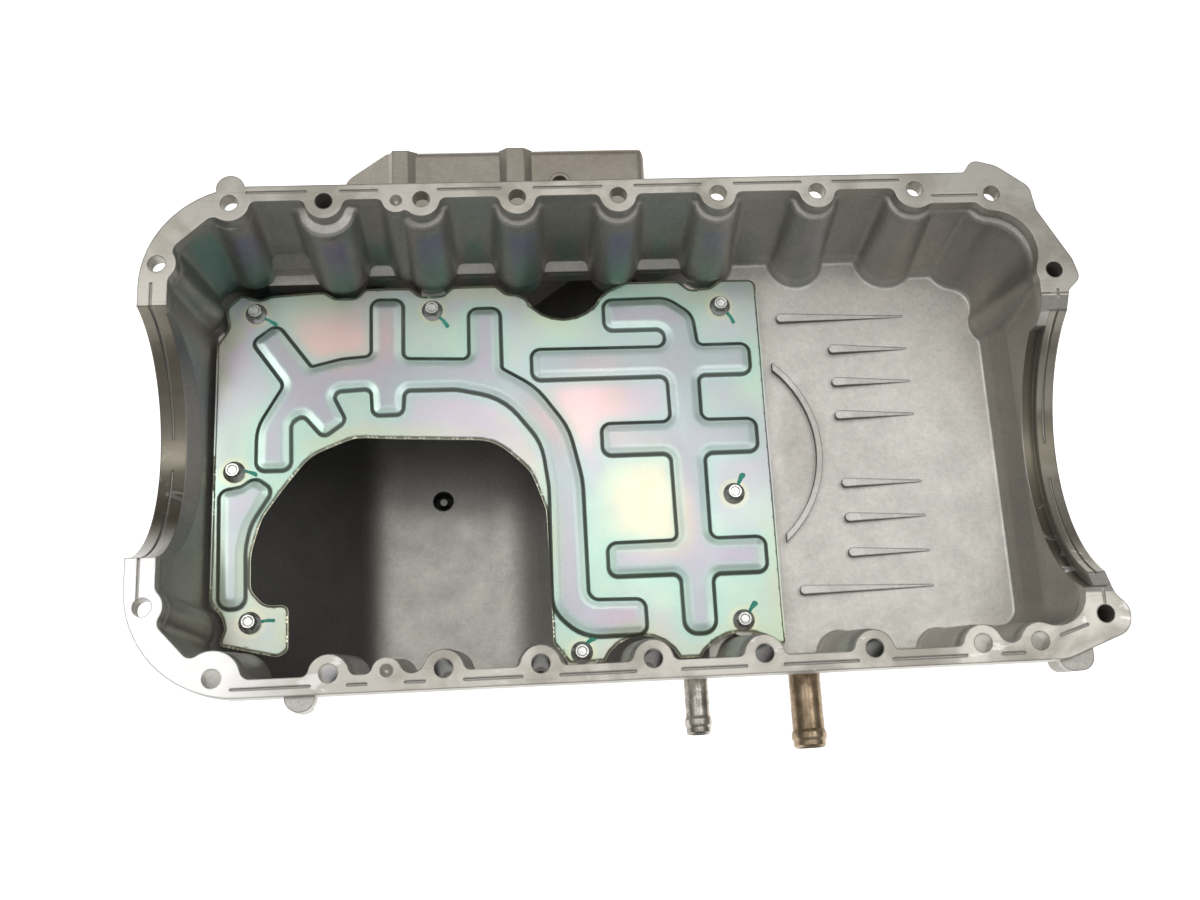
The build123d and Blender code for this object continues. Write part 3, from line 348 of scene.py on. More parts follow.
    # milled metal
    sw = g.n("ShaderNodeTexWave", wave_type="RINGS", rings_direction="Z")
    g.link(g.scale(g.pos, (1.0, 1.0, 1.0)), sw.inputs["Vector"])
    sw.inputs["Scale"].default_value = 260.0
    sw.inputs["Distortion"].default_value = 0.6
    stain = g.noise(g.pos, 28.0, 5.0, 0.6, dist=0.4)
    scr = g.noise(g.scale(g.pos, (1.0, 14.0, 1.0)), 55.0, 4.0, 0.7)
    mill = g.mix(g.step(stain, 0.4, 0.66), rgb(200, 196, 186), rgb(168, 163, 152))
    mill = g.mix(g.math("MULTIPLY", g.step(scr, 0.55, 0.75), 0.35), mill, rgb(128, 124, 116))
    band = g.noise(g.scale(g.pos, (0.5, 1.0, 1.0)), 22.0, 3.0, 0.6)
    landc = g.mix(g.step(band, 0.36, 0.62), rgb(96, 90, 76), rgb(146, 141, 128))
    landc = g.mix(g.step(x, 0.2325, 0.2345), g.mix(g.step(x, 0.0, 0.1), g.mix(0.35, landc, rgb(92, 84, 70)), rgb(120, 114, 100)), g.mix(g.step(band, 0.36, 0.62), rgb(128, 122, 108), rgb(176, 171, 158)))
    landc = g.mix(g.math("MULTIPLY", g.step(y, -0.010, -0.035), 0.35), landc, rgb(84, 78, 66))
    mill = g.mix(lands, mill, landc)
    # painted highlight on the near-left corner of the gasket face, and small bright patches on the near half that are
    # partly rubbed metal and partly painted highlight
    dcorner = g.vmath("LENGTH", g.vmath("MULTIPLY", g.vmath("SUBTRACT", g.pos, (-0.232, -0.118, 0.0)), (1.0, 1.0, 0.0)))
    mill = g.mix(g.math("MULTIPLY", g.step(dcorner, 0.085, 0.035), 0.9), mill, rgb(250, 249, 246))
    rubs_and_glints = g.math("MULTIPLY", g.step(g.noise(g.scale(g.pos, (1.0, 1.6, 1.0)), 46.0, 4.0, 0.6, dist=0.8), 0.6, 0.68), g.step(y, 0.02, -0.06))
    mill = g.mix(g.math("MULTIPLY", rubs_and_glints, 0.6), mill, rgb(244, 243, 240))
    color = g.mix(milled, cast, mill)
    rough = g.fmix(milled, g.remap(mid, 0.3, 0.7, 0.42, 0.52), g.remap(stain, 0.3, 0.7, 0.3, 0.42))
    bev = g.bevel(0.0011, 6)
    h = g.math("ADD", g.math("MULTIPLY", fine, 0.6), g.math("MULTIPLY", grit, 0.4))
    b1 = g.bump(g.math("MULTIPLY", h, g.math("SUBTRACT", 1.0, milled)), 0.00016, 0.6, bev)
    b2 = g.bump(g.math("MULTIPLY", sw.outputs[1], milled), 0.00002, 0.5, b1)
    g.set(color=color, metallic=0.85, rough=rough, normal=b2)
    return g.mat


def steel_material(name, c1, c2, rough=(0.16, 0.3), metallic=1.0, scale=220.0):
    g = G(name)
    n1 = g.noise(g.pos, scale, 3.0, 0.6)
    n2 = g.noise(g.pos, scale * 4.0, 2.0, 0.5)
    color = g.mix(g.step(n1, 0.35, 0.68), c1, c2)
    g.set(color=color, metallic=metallic, rough=g.remap(n2, 0.3, 0.7, rough[0], rough[1]),
          normal=g.bump(n2, 0.00004, 0.4, g.bevel(0.00035, 4)))
    return g.mat


def setmat(node, mat):
    ob = nodes[node]
    if len(ob.material_slots) == 0:
        ob.data.materials.append(mat)
    for s in ob.material_slots:
        s.material = mat


setmat("pan_casting", casting_material())
bolt_mat = steel_material("bright_zinc_bolt", rgb(226, 226, 222), rgb(196, 196, 190), (0.14, 0.26))
for n in nodes:
    if n.startswith("baffle_bolt"):
        setmat(n, bolt_mat)
setmat("hose_nipple_small", steel_material("bright_zinc_pipe", rgb(200, 195, 186), rgb(140, 134, 124), (0.2, 0.34), scale=120))
setmat("hose_nipple_large", steel_material("yellow_zinc_pipe", rgb(176, 156, 130), rgb(122, 105, 84), (0.2, 0.34), scale=90))
def plug_material():
    g = G("plug_zinc")
    n1 = g.noise(g.pos, 260.0, 3.0, 0.6)
    x, y, z = g.xyz()
    d = g.vmath("LENGTH", g.vmath("MULTIPLY", g.vmath("SUBTRACT", g.pos, (-0.1006, 0.0, 0.0)), (1.0, 1.0, 0.0)))
    # painted shade: the bore around the plug's nib nearly black
    inside = g.math("MULTIPLY", g.step(z, -0.1795, -0.1790), g.step(d, 0.0068, 0.0064))
    pin = g.math("MULTIPLY", g.step(d, 0.00225, 0.0021), g.step(z, -0.1655, -0.1652))
    zinc = g.mix(g.step(n1, 0.35, 0.68), rgb(186, 184, 176), rgb(150, 148, 140))
    black = g.mix(n1, rgb(22, 21, 20), rgb(34, 32, 30))
    col = g.mix(pin, g.mix(inside, zinc, black), rgb(214, 210, 204))
    g.set(color=col, metallic=g.fmix(inside, 1.0, 0.2), rough=g.fmix(pin, g.remap(n1, 0.3, 0.7, 0.3, 0.45), 0.25), normal=g.bump(n1, 0.00003, 0.4, g.bevel(0.0004, 4)))
    return g.mat


setmat("drain_plug", plug_material())
setmat("drain_washer", steel_material("copper_washer", rgb(196, 128, 92), rgb(160, 98, 70), (0.25, 0.4)))

# ------------------------------------------------------------------ stamped plate
PLATE_TOP, PLATE_T, BEAD_H, LIP_H = -70.0, 1.5, 2.2, 4.0
PLATE_BOLTS = [(-197.3, 89.4), (-99.0, 88.6), (65.7, 86.7), (-207.4, -2.6),
               (65.7, -25.0), (-197.3, -85.7), (65.7, -95.9), (-22.6, -109.3)]


def notch(cx, cy, r, a0, a1, steps):
    return [(cx + r * math.cos(math.radians(a0 + (a1 - a0) * i / steps)),
             cy + r * math.sin(math.radians(a0 + (a1 - a0) * i / steps)), 3.0) for i in range(steps + 1)]


PLATE_OUT = [(-218.9, -73.0, 6), (-212.0, -82.5, 6), (-210.6, -88.5, 5), (-213.6, -96.8, 2.5), (-198.5, -100.6, 20),
             (-182.5, -104.4, 5), (-177.4, -101.0, 4), (-177.6, -76.6, 4), (-190.0, -76.6, 9),
             (-197.6, -68.0, 9), (-197.8, -48.0, 30), (-192.5, -29.0, 30), (-181.5, -13.0, 40), (-167.0, 5.5, 26),
             (-143.0, 15.2, 22), (-118.0, 13.6, 60), (-66.0, 11.2, 26), (-46.5, -7.0, 26), (-38.6, -30.0, 24), (-37.4, -103.6, 3),
             (-29.6, -114.6, 3), (-10.6, -114.6, 2)]
PLATE_OUT += notch(9.7, -124.2, 22.6, 140, 40, 6)
PLATE_OUT += [(30.0, -114.6, 2), (41.0, -114.6, 2)]
PLATE_OUT += notch(64.2, -130.0, 28.0, 137, 47, 6)
PLATE_OUT += [(87.9, -109.4, 1.5), (87.9, 103.4, 5), (67.5, 103.6, 4), (61.0, 99.0, 5), (49.0, 98.0, 5), (42.5, 103.6, 4),
              (12.5, 103.6, 4), (1.5, 98.6, 5)]
PLATE_OUT += notch(-24.4, 106.2, 24.2, -27, -153, 8)
PLATE_OUT += [(-50.0, 97.4, 4), (-57.0, 98.6, 4), (-62.5, 103.5, 3), (-87.4, 103.5, 4), (-93.4, 98.2, 5), (-105.8, 98.2, 5),
              (-111.8, 103.5, 4), (-136.6, 103.6, 4), (-142.0, 98.2, 5), (-153.6, 98.2, 5), (-160.0, 102.4, 4),
              (-189.0, 100.6, 5), (-195.6, 98.2, 5), (-206.0, 101.6, 3), (-214.5, 93.2, 3), (-212.6, 81.5, 6), (-218.9, 72.0, 4)]
BEAD_BRANCH = [(-199.2, 72.2, 4), (-185.6, 82.6, 5), (-166.6, 56.6, 2), (-150.0, 60.6, 20), (-133.2, 61.9, 4), (-133.2, 95.8, 5),
               (-115.6, 95.4, 5), (-115.8, 59.9, 4), (-78.6, 58.4, 4), (-78.4, 88.8, 5), (-60.9, 88.8, 5), (-60.9, 52.4, 3),
               (-42.0, 40.8, 40), (-24.6, 16.0, 40), (-18.2, -14.0, 60), (-17.8, -81.4, 6), (12.6, -82.2, 5), (12.9, -101.0, 5),
               (-22.0, -101.2, 26), (-37.2, -86.0, 18), (-36.4, -18.0, 60), (-39.6, 8.0, 34), (-60.0, 35.0, 40), (-86.0, 41.0, 24),
               (-115.2, 41.3, 4), (-116.2, 27.2, 4), (-132.6, 27.2, 4), (-133.4, 42.9, 4), (-155.8, 41.8, 4), (-147.4, 24.4, 4),
               (-159.6, 15.4, 4), (-170.8, 28.8, 4), (-177.4, 24.4, 6), (-177.0, -2.6, 5), (-195.6, -2.4, 5), (-195.6, 22.0, 26),
               (-181.2, 46.4, 5)]
BEAD_DROP = [(-214.9, -13.4, 5), (-203.6, -11.6, 8), (-196.0, -6.4, 5.5), (-186.4, -13.6, 5), (-198.4, -33.0, 30), (-200.6, -46.0, 30),
             (-199.9, -77.8, 6), (-213.8, -77.8, 6)]
BEAD_COMB = [(-1.5, 91.9, 5), (-1.5, 73.5, 5), (32.6, 73.5, 5), (32.6, 62.5, 5), (-43.6, 63.0, 5), (-43.6, 44.9, 5), (32.6, 44.9, 5),
             (33.1, 17.6, 5), (-5.9, 17.6, 5), (-5.9, -0.6, 5), (32.0, -0.6, 5), (32.6, -50.4, 4), (-5.9, -50.8, 5), (-5.9, -69.0, 5),
             (33.2, -69.0, 5), (33.6, -101.8, 7), (50.4, -101.8, 7), (50.4, -69.6, 5), (80.7, -69.6, 5), (80.7, -50.2, 5),
             (50.6, -50.2, 5), (50.6, -1.0, 5), (80.9, -1.0, 5), (80.9, 18.0, 5), (50.2, 18.2, 5), (50.2, 45.0, 4), (80.3, 45.0, 5),
             (80.3, 63.0, 5), (51.0, 63.0, 4), (49.0, 82.0, 12), (35.0, 92.4, 16)]


def rounded(pts, step=9.0):
    """Closed outline of (x, y, radius) corners as a list of points, anticlockwise."""
    area2 = sum(pts[i - 1][0] * pts[i][1] - pts[i][0] * pts[i - 1][1] for i in range(len(pts)))
    if area2 < 0:
        pts = pts[::-1]
    out = []
    n = len(pts)
    for i in range(n):
        p0, p1, p2 = (np.array(pts[j][:2], float) for j in (i - 1, i, (i + 1) % n))
        r = pts[i][2]
        a, b = p0 - p1, p2 - p1
        la, lb = np.hypot(*a), np.hypot(*b)
        a, b = a / la, b / lb
        ang = math.acos(max(-1.0, min(1.0, float(a @ b))))
        t = min(r / math.tan(ang / 2), la * 0.499, lb * 0.499)
        r = t * math.tan(ang / 2)
        if math.pi - ang < math.radians(2.0) or r < 0.05:
            out.append(p1)
            continue
        c = p1 + (a + b) / np.hypot(*(a + b)) * (r / math.sin(ang / 2))
        s0 = p1 + a * t - c
        turn = math.pi - ang
        sign = 1.0 if float(a[0] * b[1] - a[1] * b[0]) < 0 else -1.0
        k = max(2, int(math.ceil(math.degrees(turn) / step)))
        for j in range(k + 1):
            th = sign * turn * j / k
            out.append(c + np.array([s0[0] * math.cos(th) - s0[1] * math.sin(th), s0[0] * math.sin(th) + s0[1] * math.cos(th)]))
    return np.array(out)


def densify(poly, d):
    out = []
    for i in range(len(poly)):
        p, q = poly[i], poly[(i + 1) % len(poly)]
        k = max(1, int(np.hypot(*(q - p)) / d))
        out += [p + (q - p) * j / k for j in range(k)]
    return np.array(out)


def signed(points, poly):
    """Distance to a closed line, positive inside."""
    a = poly
    b = np.roll(poly, -1, axis=0)
    best = np.full(len(points), 1e9)
    odd = np.zeros(len(points), bool)
    for i in range(len(a)):
        d = b[i] - a[i]
        ll = float(d @ d)
        if ll < 1e-12:
            continue
        t = np.clip(((points - a[i]) @ d) / ll, 0.0, 1.0)
        q = points - (a[i] + t[:, None] * d)
        best = np.minimum(best, q[:, 0] ** 2 + q[:, 1] ** 2)
        cond = (a[i][1] > points[:, 1]) != (b[i][1] > points[:, 1])
        if abs(d[1]) > 1e-12:
            xs = a[i][0] + (points[:, 1] - a[i][1]) / d[1] * d[0]
            odd ^= cond & (points[:, 0] < xs)
    return np.where(odd, 1.0, -1.0) * np.sqrt(best)


def smooth01(t):
    t = np.clip(t, 0.0, 1.0)
    return t * t * (3.0 - 2.0 * t)


def make_plate():
    outline = densify(rounded(PLATE_OUT), 2.5)
    beads = [rounded(b) for b in (BEAD_BRANCH, BEAD_DROP, BEAD_COMB)]
    # candidate points: outline, offset rows beside every edge, bolt-hole rings and a grid
    rows = []
    for bead in beads:
        dense = densify(bead, 1.1)
        d = np.roll(dense, -1, axis=0) - np.roll(dense, 1, axis=0)
        nrm = np.stack([-d[:, 1], d[:, 0]], 1) / np.maximum(np.hypot(d[:, 0], d[:, 1]), 1e-9)[:, None]
        for off in (-2.3, -1.7, -1.25, -0.95, -0.65, -0.35, -0.05, 0.25, 0.55, 0.85, 1.2, 1.7, 2.4):
            p = dense + nrm * off
            s = signed(p, bead)
            rows.append(p[np.abs(s - off) < 0.12])
    dense = densify(rounded(PLATE_OUT), 2.0)
    d = np.roll(dense, -1, axis=0) - np.roll(dense, 1, axis=0)
    nrm = np.stack([-d[:, 1], d[:, 0]], 1) / np.maximum(np.hypot(d[:, 0], d[:, 1]), 1e-9)[:, None]
    for off in (0.25, 0.6, 1.1, 1.8, 2.8):
        p = dense + nrm * off
        s = signed(p, outline)
        rows.append(p[np.abs(s - off) < 0.15])
    for cx, cy in PLATE_BOLTS:
        for r, k in ((4.3, 28), (6.0, 32), (7.2, 32), (8.4, 32), (10.0, 30)):
            rows.append(np.array([(cx + r * math.cos(2 * math.pi * (i + 0.5) / k), cy + r * math.sin(2 * math.pi * (i + 0.5) / k)) for i in range(k)]))
    gx, gy = np.meshgrid(np.arange(-217.0, 88.0, 5.0), np.arange(-114.0, 105.0, 5.0))
    gx = gx + (np.arange(gy.shape[0]) % 2)[:, None] * 2.5
    grid = np.stack([gx.ravel(), gy.ravel()], 1)
    keep = np.ones(len(grid), bool)
    for bead in beads:
        keep &= np.abs(signed(grid, bead)) > 3.0
    grid = grid[keep]
    rows.append(grid)
    gx, gy = np.meshgrid(np.arange(-217.0, 88.0, 1.5), np.arange(-114.0, 105.0, 1.5))
    gx = gx + (np.arange(gy.shape[0]) % 2)[:, None] * 0.75
    fine = np.stack([gx.ravel(), gy.ravel()], 1)
    best = np.max(np.stack([signed(fine, b) for b in beads]), axis=0)
    rows.append(fine[((best > 2.9) & (best < 7.0)) | ((best < -2.8) & (best > -4.6))])
    pts = np.concatenate(rows)
    so = signed(pts, outline)
    pts = pts[so > 0.2]
    keep = np.ones(len(pts), bool)
    for cx, cy in PLATE_BOLTS:
        keep &= np.hypot(pts[:, 0] - cx, pts[:, 1] - cy) > 3.7
    pts = pts[keep]
    # thin out points that sit almost on top of each other
    key = np.round(pts / 0.22).astype(np.int64)
    _, first = np.unique(key[:, 0] * 100000 + key[:, 1], return_index=True)
    pts = pts[np.sort(first)]
    verts = [Vector((float(p[0]), float(p[1]))) for p in outline]
    edges = [(i, (i + 1) % len(outline)) for i in range(len(outline))]
    for cx, cy in PLATE_BOLTS:
        k0, k = len(verts), 24
        verts += [Vector((cx + 3.3 * math.cos(2 * math.pi * i / k), cy + 3.3 * math.sin(2 * math.pi * i / k))) for i in range(k)]
        edges += [(k0 + i, k0 + (i + 1) % k) for i in range(k)]
    verts += [Vector((float(p[0]), float(p[1]))) for p in pts]
    v2, e2, f2, ov, oe, of_ = delaunay_2d_cdt(verts, edges, [], 0, 1e-5)
    P = np.array([(v[0], v[1]) for v in v2])
    T = np.array([f for f in f2 if len(f) == 3])
    cen = P[T].mean(axis=1)
    ok = signed(cen, outline) > 0
    for cx, cy in PLATE_BOLTS:
        ok &= np.hypot(cen[:, 0] - cx, cen[:, 1] - cy) > 3.28
    T = T[ok]
    used = np.unique(T)
    remap = -np.ones(len(P), int)
    remap[used] = np.arange(len(used))
    P, T = P[used], remap[T]
    sd = np.max(np.stack([signed(P, b) for b in beads]), axis=0)
    edge = signed(P, outline)

    def height(sd, edge, Q):
        h = 1.7 * smooth01((sd + 1.7) / 2.9) + 0.5 * smooth01((sd - 0.2) / 5.0)
        h = h - 1.0 * (1.0 - smooth01(edge / 1.9)) ** 2
        # slight waviness of pressed sheet
        return h + 0.10 * np.sin(Q[:, 0] / 23.0 + 0.8) * np.sin(Q[:, 1] / 19.0 + 0.3) + 0.04 * np.sin(Q[:, 0] / 9.0 + Q[:, 1] / 13.0)

    def at(Q):
        return height(np.max(np.stack([signed(Q, b) for b in beads]), axis=0), signed(Q, outline), Q)

    z = PLATE_TOP + height(sd, edge, P)
    eps = 0.06
    gx_ = (at(P + (eps, 0.0)) - at(P - (eps, 0.0))) / (2 * eps)
    gy_ = (at(P + (0.0, eps)) - at(P - (0.0, eps))) / (2 * eps)
    top_n = np.stack([-gx_, -gy_, np.ones(len(P))], 1)
    top_n /= np.linalg.norm(top_n, axis=1)[:, None]
    n = len(P)
    V = np.concatenate([np.column_stack([P, z]), np.column_stack([P, z - PLATE_T])]) * MM
    F = [tuple(int(i) for i in t) for t in T]
    a, b, c = P[T[:, 0]], P[T[:, 1]], P[T[:, 2]]
    if float(((b - a)[:, 0] * (c - a)[:, 1] - (b - a)[:, 1] * (c - a)[:, 0]).mean()) < 0:
        F = [t[::-1] for t in F]
    count = {}
    for t in F:
        for i in range(3):
            e = (t[i], t[(i + 1) % 3])
            count[e] = count.get(e, 0) + 1
    border = [e for e in count if (e[1], e[0]) not in count]
    G_ = [tuple(n + i for i in t[::-1]) for t in F]
    W = [(e[1], e[0], n + e[0], n + e[1]) for e in border]
    faces = F + G_ + W
    Vl = [tuple(v) for v in V]
    off = np.array(OFF)
    # turned-down lips
    base = PLATE_TOP - PLATE_T
    for x0, x1, y0, y1 in ((86.5, 87.85, -104.0, 96.0), (-218.85, -217.5, -66.0, -12.5), (-218.85, -217.5, 7.5, 64.0)):
        k = len(Vl)
        for zz in (base - LIP_H + PLATE_T, base + 1.0):
            Vl += [(x0 * MM, y0 * MM, zz * MM), (x1 * MM, y0 * MM, zz * MM), (x1 * MM, y1 * MM, zz * MM), (x0 * MM, y1 * MM, zz * MM)]
        faces += [(k, k + 3, k + 2, k + 1), (k + 4, k + 5, k + 6, k + 7), (k, k + 1, k + 5, k + 4), (k + 1, k + 2, k + 6, k + 5),
                  (k + 2, k + 3, k + 7, k + 6), (k + 3, k, k + 4, k + 7)]
    ob = new_obj("baffle_plate_stamped", [tuple(np.array(v) + off) for v in Vl], faces)
    me = ob.data
    val = np.full(len(me.vertices), -20.0)
    val[:n] = sd
    val[n:2 * n] = -20.0
    at = me.attributes.new("bead", "FLOAT", "POINT")
    at.data.foreach_set("value", val.astype(np.float32))
    ed = np.full(len(me.vertices), 0.0)
    ed[:n] = edge
    at = me.attributes.new("edge", "FLOAT", "POINT")
    at.data.foreach_set("value", ed.astype(np.float32))
    # smooth normals of the pressed shape on the top side
    loop_n = np.zeros((len(me.loops), 3), np.float32)
    lv = np.empty(len(me.loops), np.int32)
    me.loops.foreach_get("vertex_index", lv)
    pn = np.empty(len(me.polygons) * 3, np.float32)
    me.polygons.foreach_get("normal", pn)
    pn = pn.reshape(-1, 3)
    ls = np.empty(len(me.polygons), np.int32)
    me.polygons.foreach_get("loop_start", ls)
    lt = np.empty(len(me.polygons), np.int32)
    me.polygons.foreach_get("loop_total", lt)
    for q in range(len(me.polygons)):
        a, b = ls[q], ls[q] + lt[q]
        ids = lv[a:b]
        if pn[q][2] > 0.05 and (ids < n).all():
            loop_n[a:b] = top_n[ids]
        elif pn[q][2] < -0.05 and ((ids >= n) & (ids < 2 * n)).all():
            loop_n[a:b] = -top_n[ids - n]
        else:
            loop_n[a:b] = pn[q]
    me.normals_split_custom_set([tuple(float(c) for c in v) for v in loop_n])
    print("plate triangles", len(F) * 2 + len(W) * 2)
    return ob


def plate_material():
    g = G("zinc_plated_sheet")
    x, y, z = g.xyz()
    sd = g.attr("bead").outputs["Fac"]
    ed = g.attr("edge").outputs["Fac"]
    wob = g.noise(g.pos, 14.0, 2.0, 0.5, col=True)
    wpos = g.vmath("ADD", g.pos, g.vmath("MULTIPLY", g.vmath("SUBTRACT", wob, (0.5, 0.5, 0.5)), (0.05, 0.05, 0.0)))

    def blob(cx, cy, r0, r1, sx=1.0, sy=1.0):
        d = g.vmath("MULTIPLY", g.vmath("SUBTRACT", wpos, (cx * MM, cy * MM, PLATE_TOP * MM)), (sx, sy, 0.0))
        return g.math("SUBTRACT", 1.0, g.step(g.vmath("LENGTH", d), r0 * MM, r1 * MM))
    # passivate film: hue goes round with its thickness
    film = g.noise(g.pos, 11.0, 2.0, 0.45)
    drift = g.noise(g.scale(g.pos, (1.0, 0.6, 1.0)), 34.0, 3.0, 0.5)
    t = g.math("ADD", g.math("MULTIPLY", film, 0.75), g.math("MULTIPLY", drift, 0.25))
    field = g.ramp(t, [(0.30, rgb(172, 200, 186)), (0.42, rgb(184, 208, 188)), (0.52, rgb(188, 194, 196)), (0.62, rgb(200, 186, 200)), (0.74, rgb(196, 206, 168))])
    inner = g.ramp(t, [(0.30, rgb(196, 196, 204)), (0.46, rgb(196, 186, 200)), (0.56, rgb(188, 200, 202)), (0.72, rgb(206, 188, 192))])
    col = g.mix(g.step(sd, 0.5, 8.0), field, inner)
    # warm patches
    col = g.mix(g.math("MULTIPLY", blob(-146.0, 78.0, 6.0, 34.0, 0.8, 1.0), 0.9), col, rgb(226, 184, 176))
    col = g.mix(g.math("MULTIPLY", blob(-6.0, 27.0, 6.0, 34.0, 0.9, 1.0), 0.85), col, rgb(232, 192, 192))
    col = g.mix(g.math("MULTIPLY", blob(16.0, -28.0, 6.0, 34.0, 1.0, 0.8), 0.9), col, rgb(240, 214, 180))
    col = g.mix(g.math("MULTIPLY", blob(6.0, -92.0, 4.0, 26.0, 1.0, 1.0), 0.5), col, rgb(220, 178, 196))
    # teal halo beside each bead, yellow along the sheet's own edges
    halo = g.math("MULTIPLY", g.step(g.math("ABSOLUTE", g.math("SUBTRACT", sd, 0.0)), 8.5, 0.8), 0.5)
    col = g.mix(halo, col, rgb(160, 204, 192))
    # painted highlight: a pale band just inside each bead's edge
    col = g.mix(g.math("MULTIPLY", g.step(g.math("ABSOLUTE", g.math("SUBTRACT", sd, 3.4)), 2.8, 0.4), 0.3), col, rgb(226, 238, 234))
    rim = g.math("MULTIPLY", g.step(ed, 13.0, 2.0), g.step(g.noise(g.pos, 18.0, 2.0, 0.5), 0.36, 0.6))
    col = g.mix(g.math("MULTIPLY", rim, 0.5), col, rgb(198, 202, 158))
    # painted highlight: a bright line right at the sheet's edge
    col = g.mix(g.math("MULTIPLY", g.step(ed, 1.3, 0.3), g.step(ed, 0.02, 0.1)), col, rgb(232, 226, 190))
    # painted reflection: a pale ring around each bolt
    ring = None
    for cx, cy in PLATE_BOLTS:
        d = g.vmath("LENGTH", g.vmath("MULTIPLY", g.vmath("SUBTRACT", g.pos, (cx * MM, cy * MM, 0.0)), (1.0, 1.0, 0.0)))
        m = g.math("MULTIPLY", g.step(d, 0.0098, 0.0072), 1.0)
        ring = m if ring is None else g.math("MAXIMUM", ring, m)
    col = g.mix(g.math("MULTIPLY", ring, 0.5), col, rgb(214, 210, 168))
    # painted shade on the flank of each bead
    flank = g.math("MULTIPLY", g.step(sd, -1.9, -0.8), g.step(sd, 1.3, -0.2))
    col = g.mix(g.math("MULTIPLY", flank, 0.7), col, rgb(132, 138, 126))
    fine = g.noise(g.pos, 700.0, 3.0, 0.6)
    rub = g.noise(g.pos, 45.0, 3.0, 0.5)
    col = g.mix(g.remap(fine, 0.3, 0.7, 0.0, 0.10), col, rgb(120, 128, 122))
    hsv = g.n("ShaderNodeHueSaturation")
    hsv.inputs["Saturation"].default_value = 0.82
    g.link(col, hsv.inputs["Color"])
    col = g.mix(1.0, hsv.outputs[0], g.mix(g.step(sd, 0.5, 3.0), (0.90, 0.92, 0.91), (0.75, 0.77, 0.77)), "MULTIPLY")
    g.set(color=col, metallic=1.0, rough=g.math("ADD", g.remap(rub, 0.3, 0.7, 0.28, 0.32), g.math("MULTIPLY", flank, 0.12)),
          normal=g.bump(fine, 0.00001, 0.12))
    return g.mat


plate = make_plate()
plate.data.materials.append(plate_material())
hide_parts("baffle_plate")
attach(plate, "root")


# ------------------------------------------------------------------ green paint dabs
def paint_material():
    g = G("green_paint")
    nn = g.noise(g.pos, 900.0, 3.0, 0.6)
    g.set(color=g.mix(g.step(nn, 0.35, 0.7), rgb(44, 150, 130), rgb(70, 176, 152)), metallic=0.0, rough=g.remap(nn, 0.3, 0.7, 0.4, 0.55),
          normal=g.bump(nn, 0.00003, 0.5))
    return g.mat


paint = paint_material()
DABS = {
    "corner_far_left": ((4.4, -2.6), (11.4, -7.0), 1.1, 2.6), "far_middle": ((3.8, -3.6), (8.8, -10.2), 1.4, 2.8),
    "corner_far_right": ((3.8, -3.8), (7.6, -10.6), 1.4, 3.0), "left_middle": ((5.0, 0.8), (12.2, -2.2), 1.1, 2.6),
    "right_middle": ((2.6, 4.8), (6.4, 11.4), 1.2, 4.0), "corner_near_left": ((4.6, 0.4), (13.0, 0.8), 1.2, 2.2),
    "corner_near_right": ((3.2, 4.2), (7.8, 9.8), 1.2, 3.6), "near_middle": ((2.6, 4.6), (8.0, 7.6), 1.6, 3.2),
}
BOLT_AT = dict(zip(("corner_far_left", "far_middle", "corner_far_right", "left_middle", "right_middle", "corner_near_left",
                    "corner_near_right", "near_middle"), PLATE_BOLTS))
for key, (p0, p1, w0, w1) in DABS.items():
    cx, cy = BOLT_AT[key]
    a = np.array([cx + p0[0], cy + p0[1]])
    b = np.array([cx + p1[0], cy + p1[1]])
    d = b - a
    L = float(np.hypot(*d))
    d /= L
    nrm = np.array([-d[1], d[0]])
    rows = 9
    top, V, F = [], [], []
    for i in range(rows + 1):
        u = i / rows
        w = (w0 + (w1 - w0) * u) * (0.35 + 0.65 * min(1.0, 4 * u + 0.35)) * (1.0 if u < 0.85 else 1.0 - (u - 0.85) * 3.0)
        w += float(rng.uniform(-0.18, 0.18))
        c = a + d * (L * u) + nrm * (0.35 * math.sin(3.0 * u) + float(rng.uniform(-0.1, 0.1)))
        zz = PLATE_TOP + 0.16 + max(0.0, 1.3 - 3.2 * u * L / 7.0)
        for s_, h in ((-1, -0.10), (-0.5, 0.10), (0.5, 0.10), (1, -0.10)):
            p = c + nrm * (s_ * w / 2)
            V.append((p[0] * MM, p[1] * MM, (zz + h) * MM))
    for i in range(rows):
        for j in range(3):
            q = i * 4 + j
            F.append((q, q + 1, q + 5, q + 4))
    k = len(V)
    V += [(v[0], v[1], v[2] - 0.5 * MM) for v in V]
    F += [tuple(k + i for i in f[::-1]) for f in F]
    border = [(i * 4, (i + 1) * 4) for i in range(rows)] + [((i + 1) * 4 + 3, i * 4 + 3) for i in range(rows)]
    border += [(j + 1, j) for j in range(3)] + [(rows * 4 + j, rows * 4 + j + 1) for j in range(3)]
    F += [(e[1], e[0], k + e[0], k + e[1]) for e in border]
    ob = new_obj("paint_dab_" + key, [tuple(Vector(v) + OFF) for v in V], F)
    ob.data.materials.append(paint)
    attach(ob, "root")

# ------------------------------------------------------------------ camera
CAM_F, CAM_ROT = 1362.53508, (0.27757, -0.07157, -0.0457)
CAM_POS = (-46.74191, -208.03215, 658.8063)
CAM_SHIFT = (0.028990, 0.005030)
cam_data = bpy.data.cameras.new("camera")
cam = bpy.data.objects.new("camera", cam_data)
scene.collection.objects.link(cam)
rv = Vector(CAM_ROT)
cam.matrix_world = Matrix.Translation(Vector(CAM_POS) * MM + OFF) @ Matrix.Rotation(rv.length, 4, rv.normalized())
cam_data.sensor_fit = "HORIZONTAL"
cam_data.sensor_width = 36.0
cam_data.lens = CAM_F / 1200.0 * 36.0
cam_data.shift_x = -CAM_SHIFT[0]
cam_data.shift_y = CAM_SHIFT[1]
cam_data.clip_start = 0.01
cam_data.clip_end = 20.0
scene.camera = cam

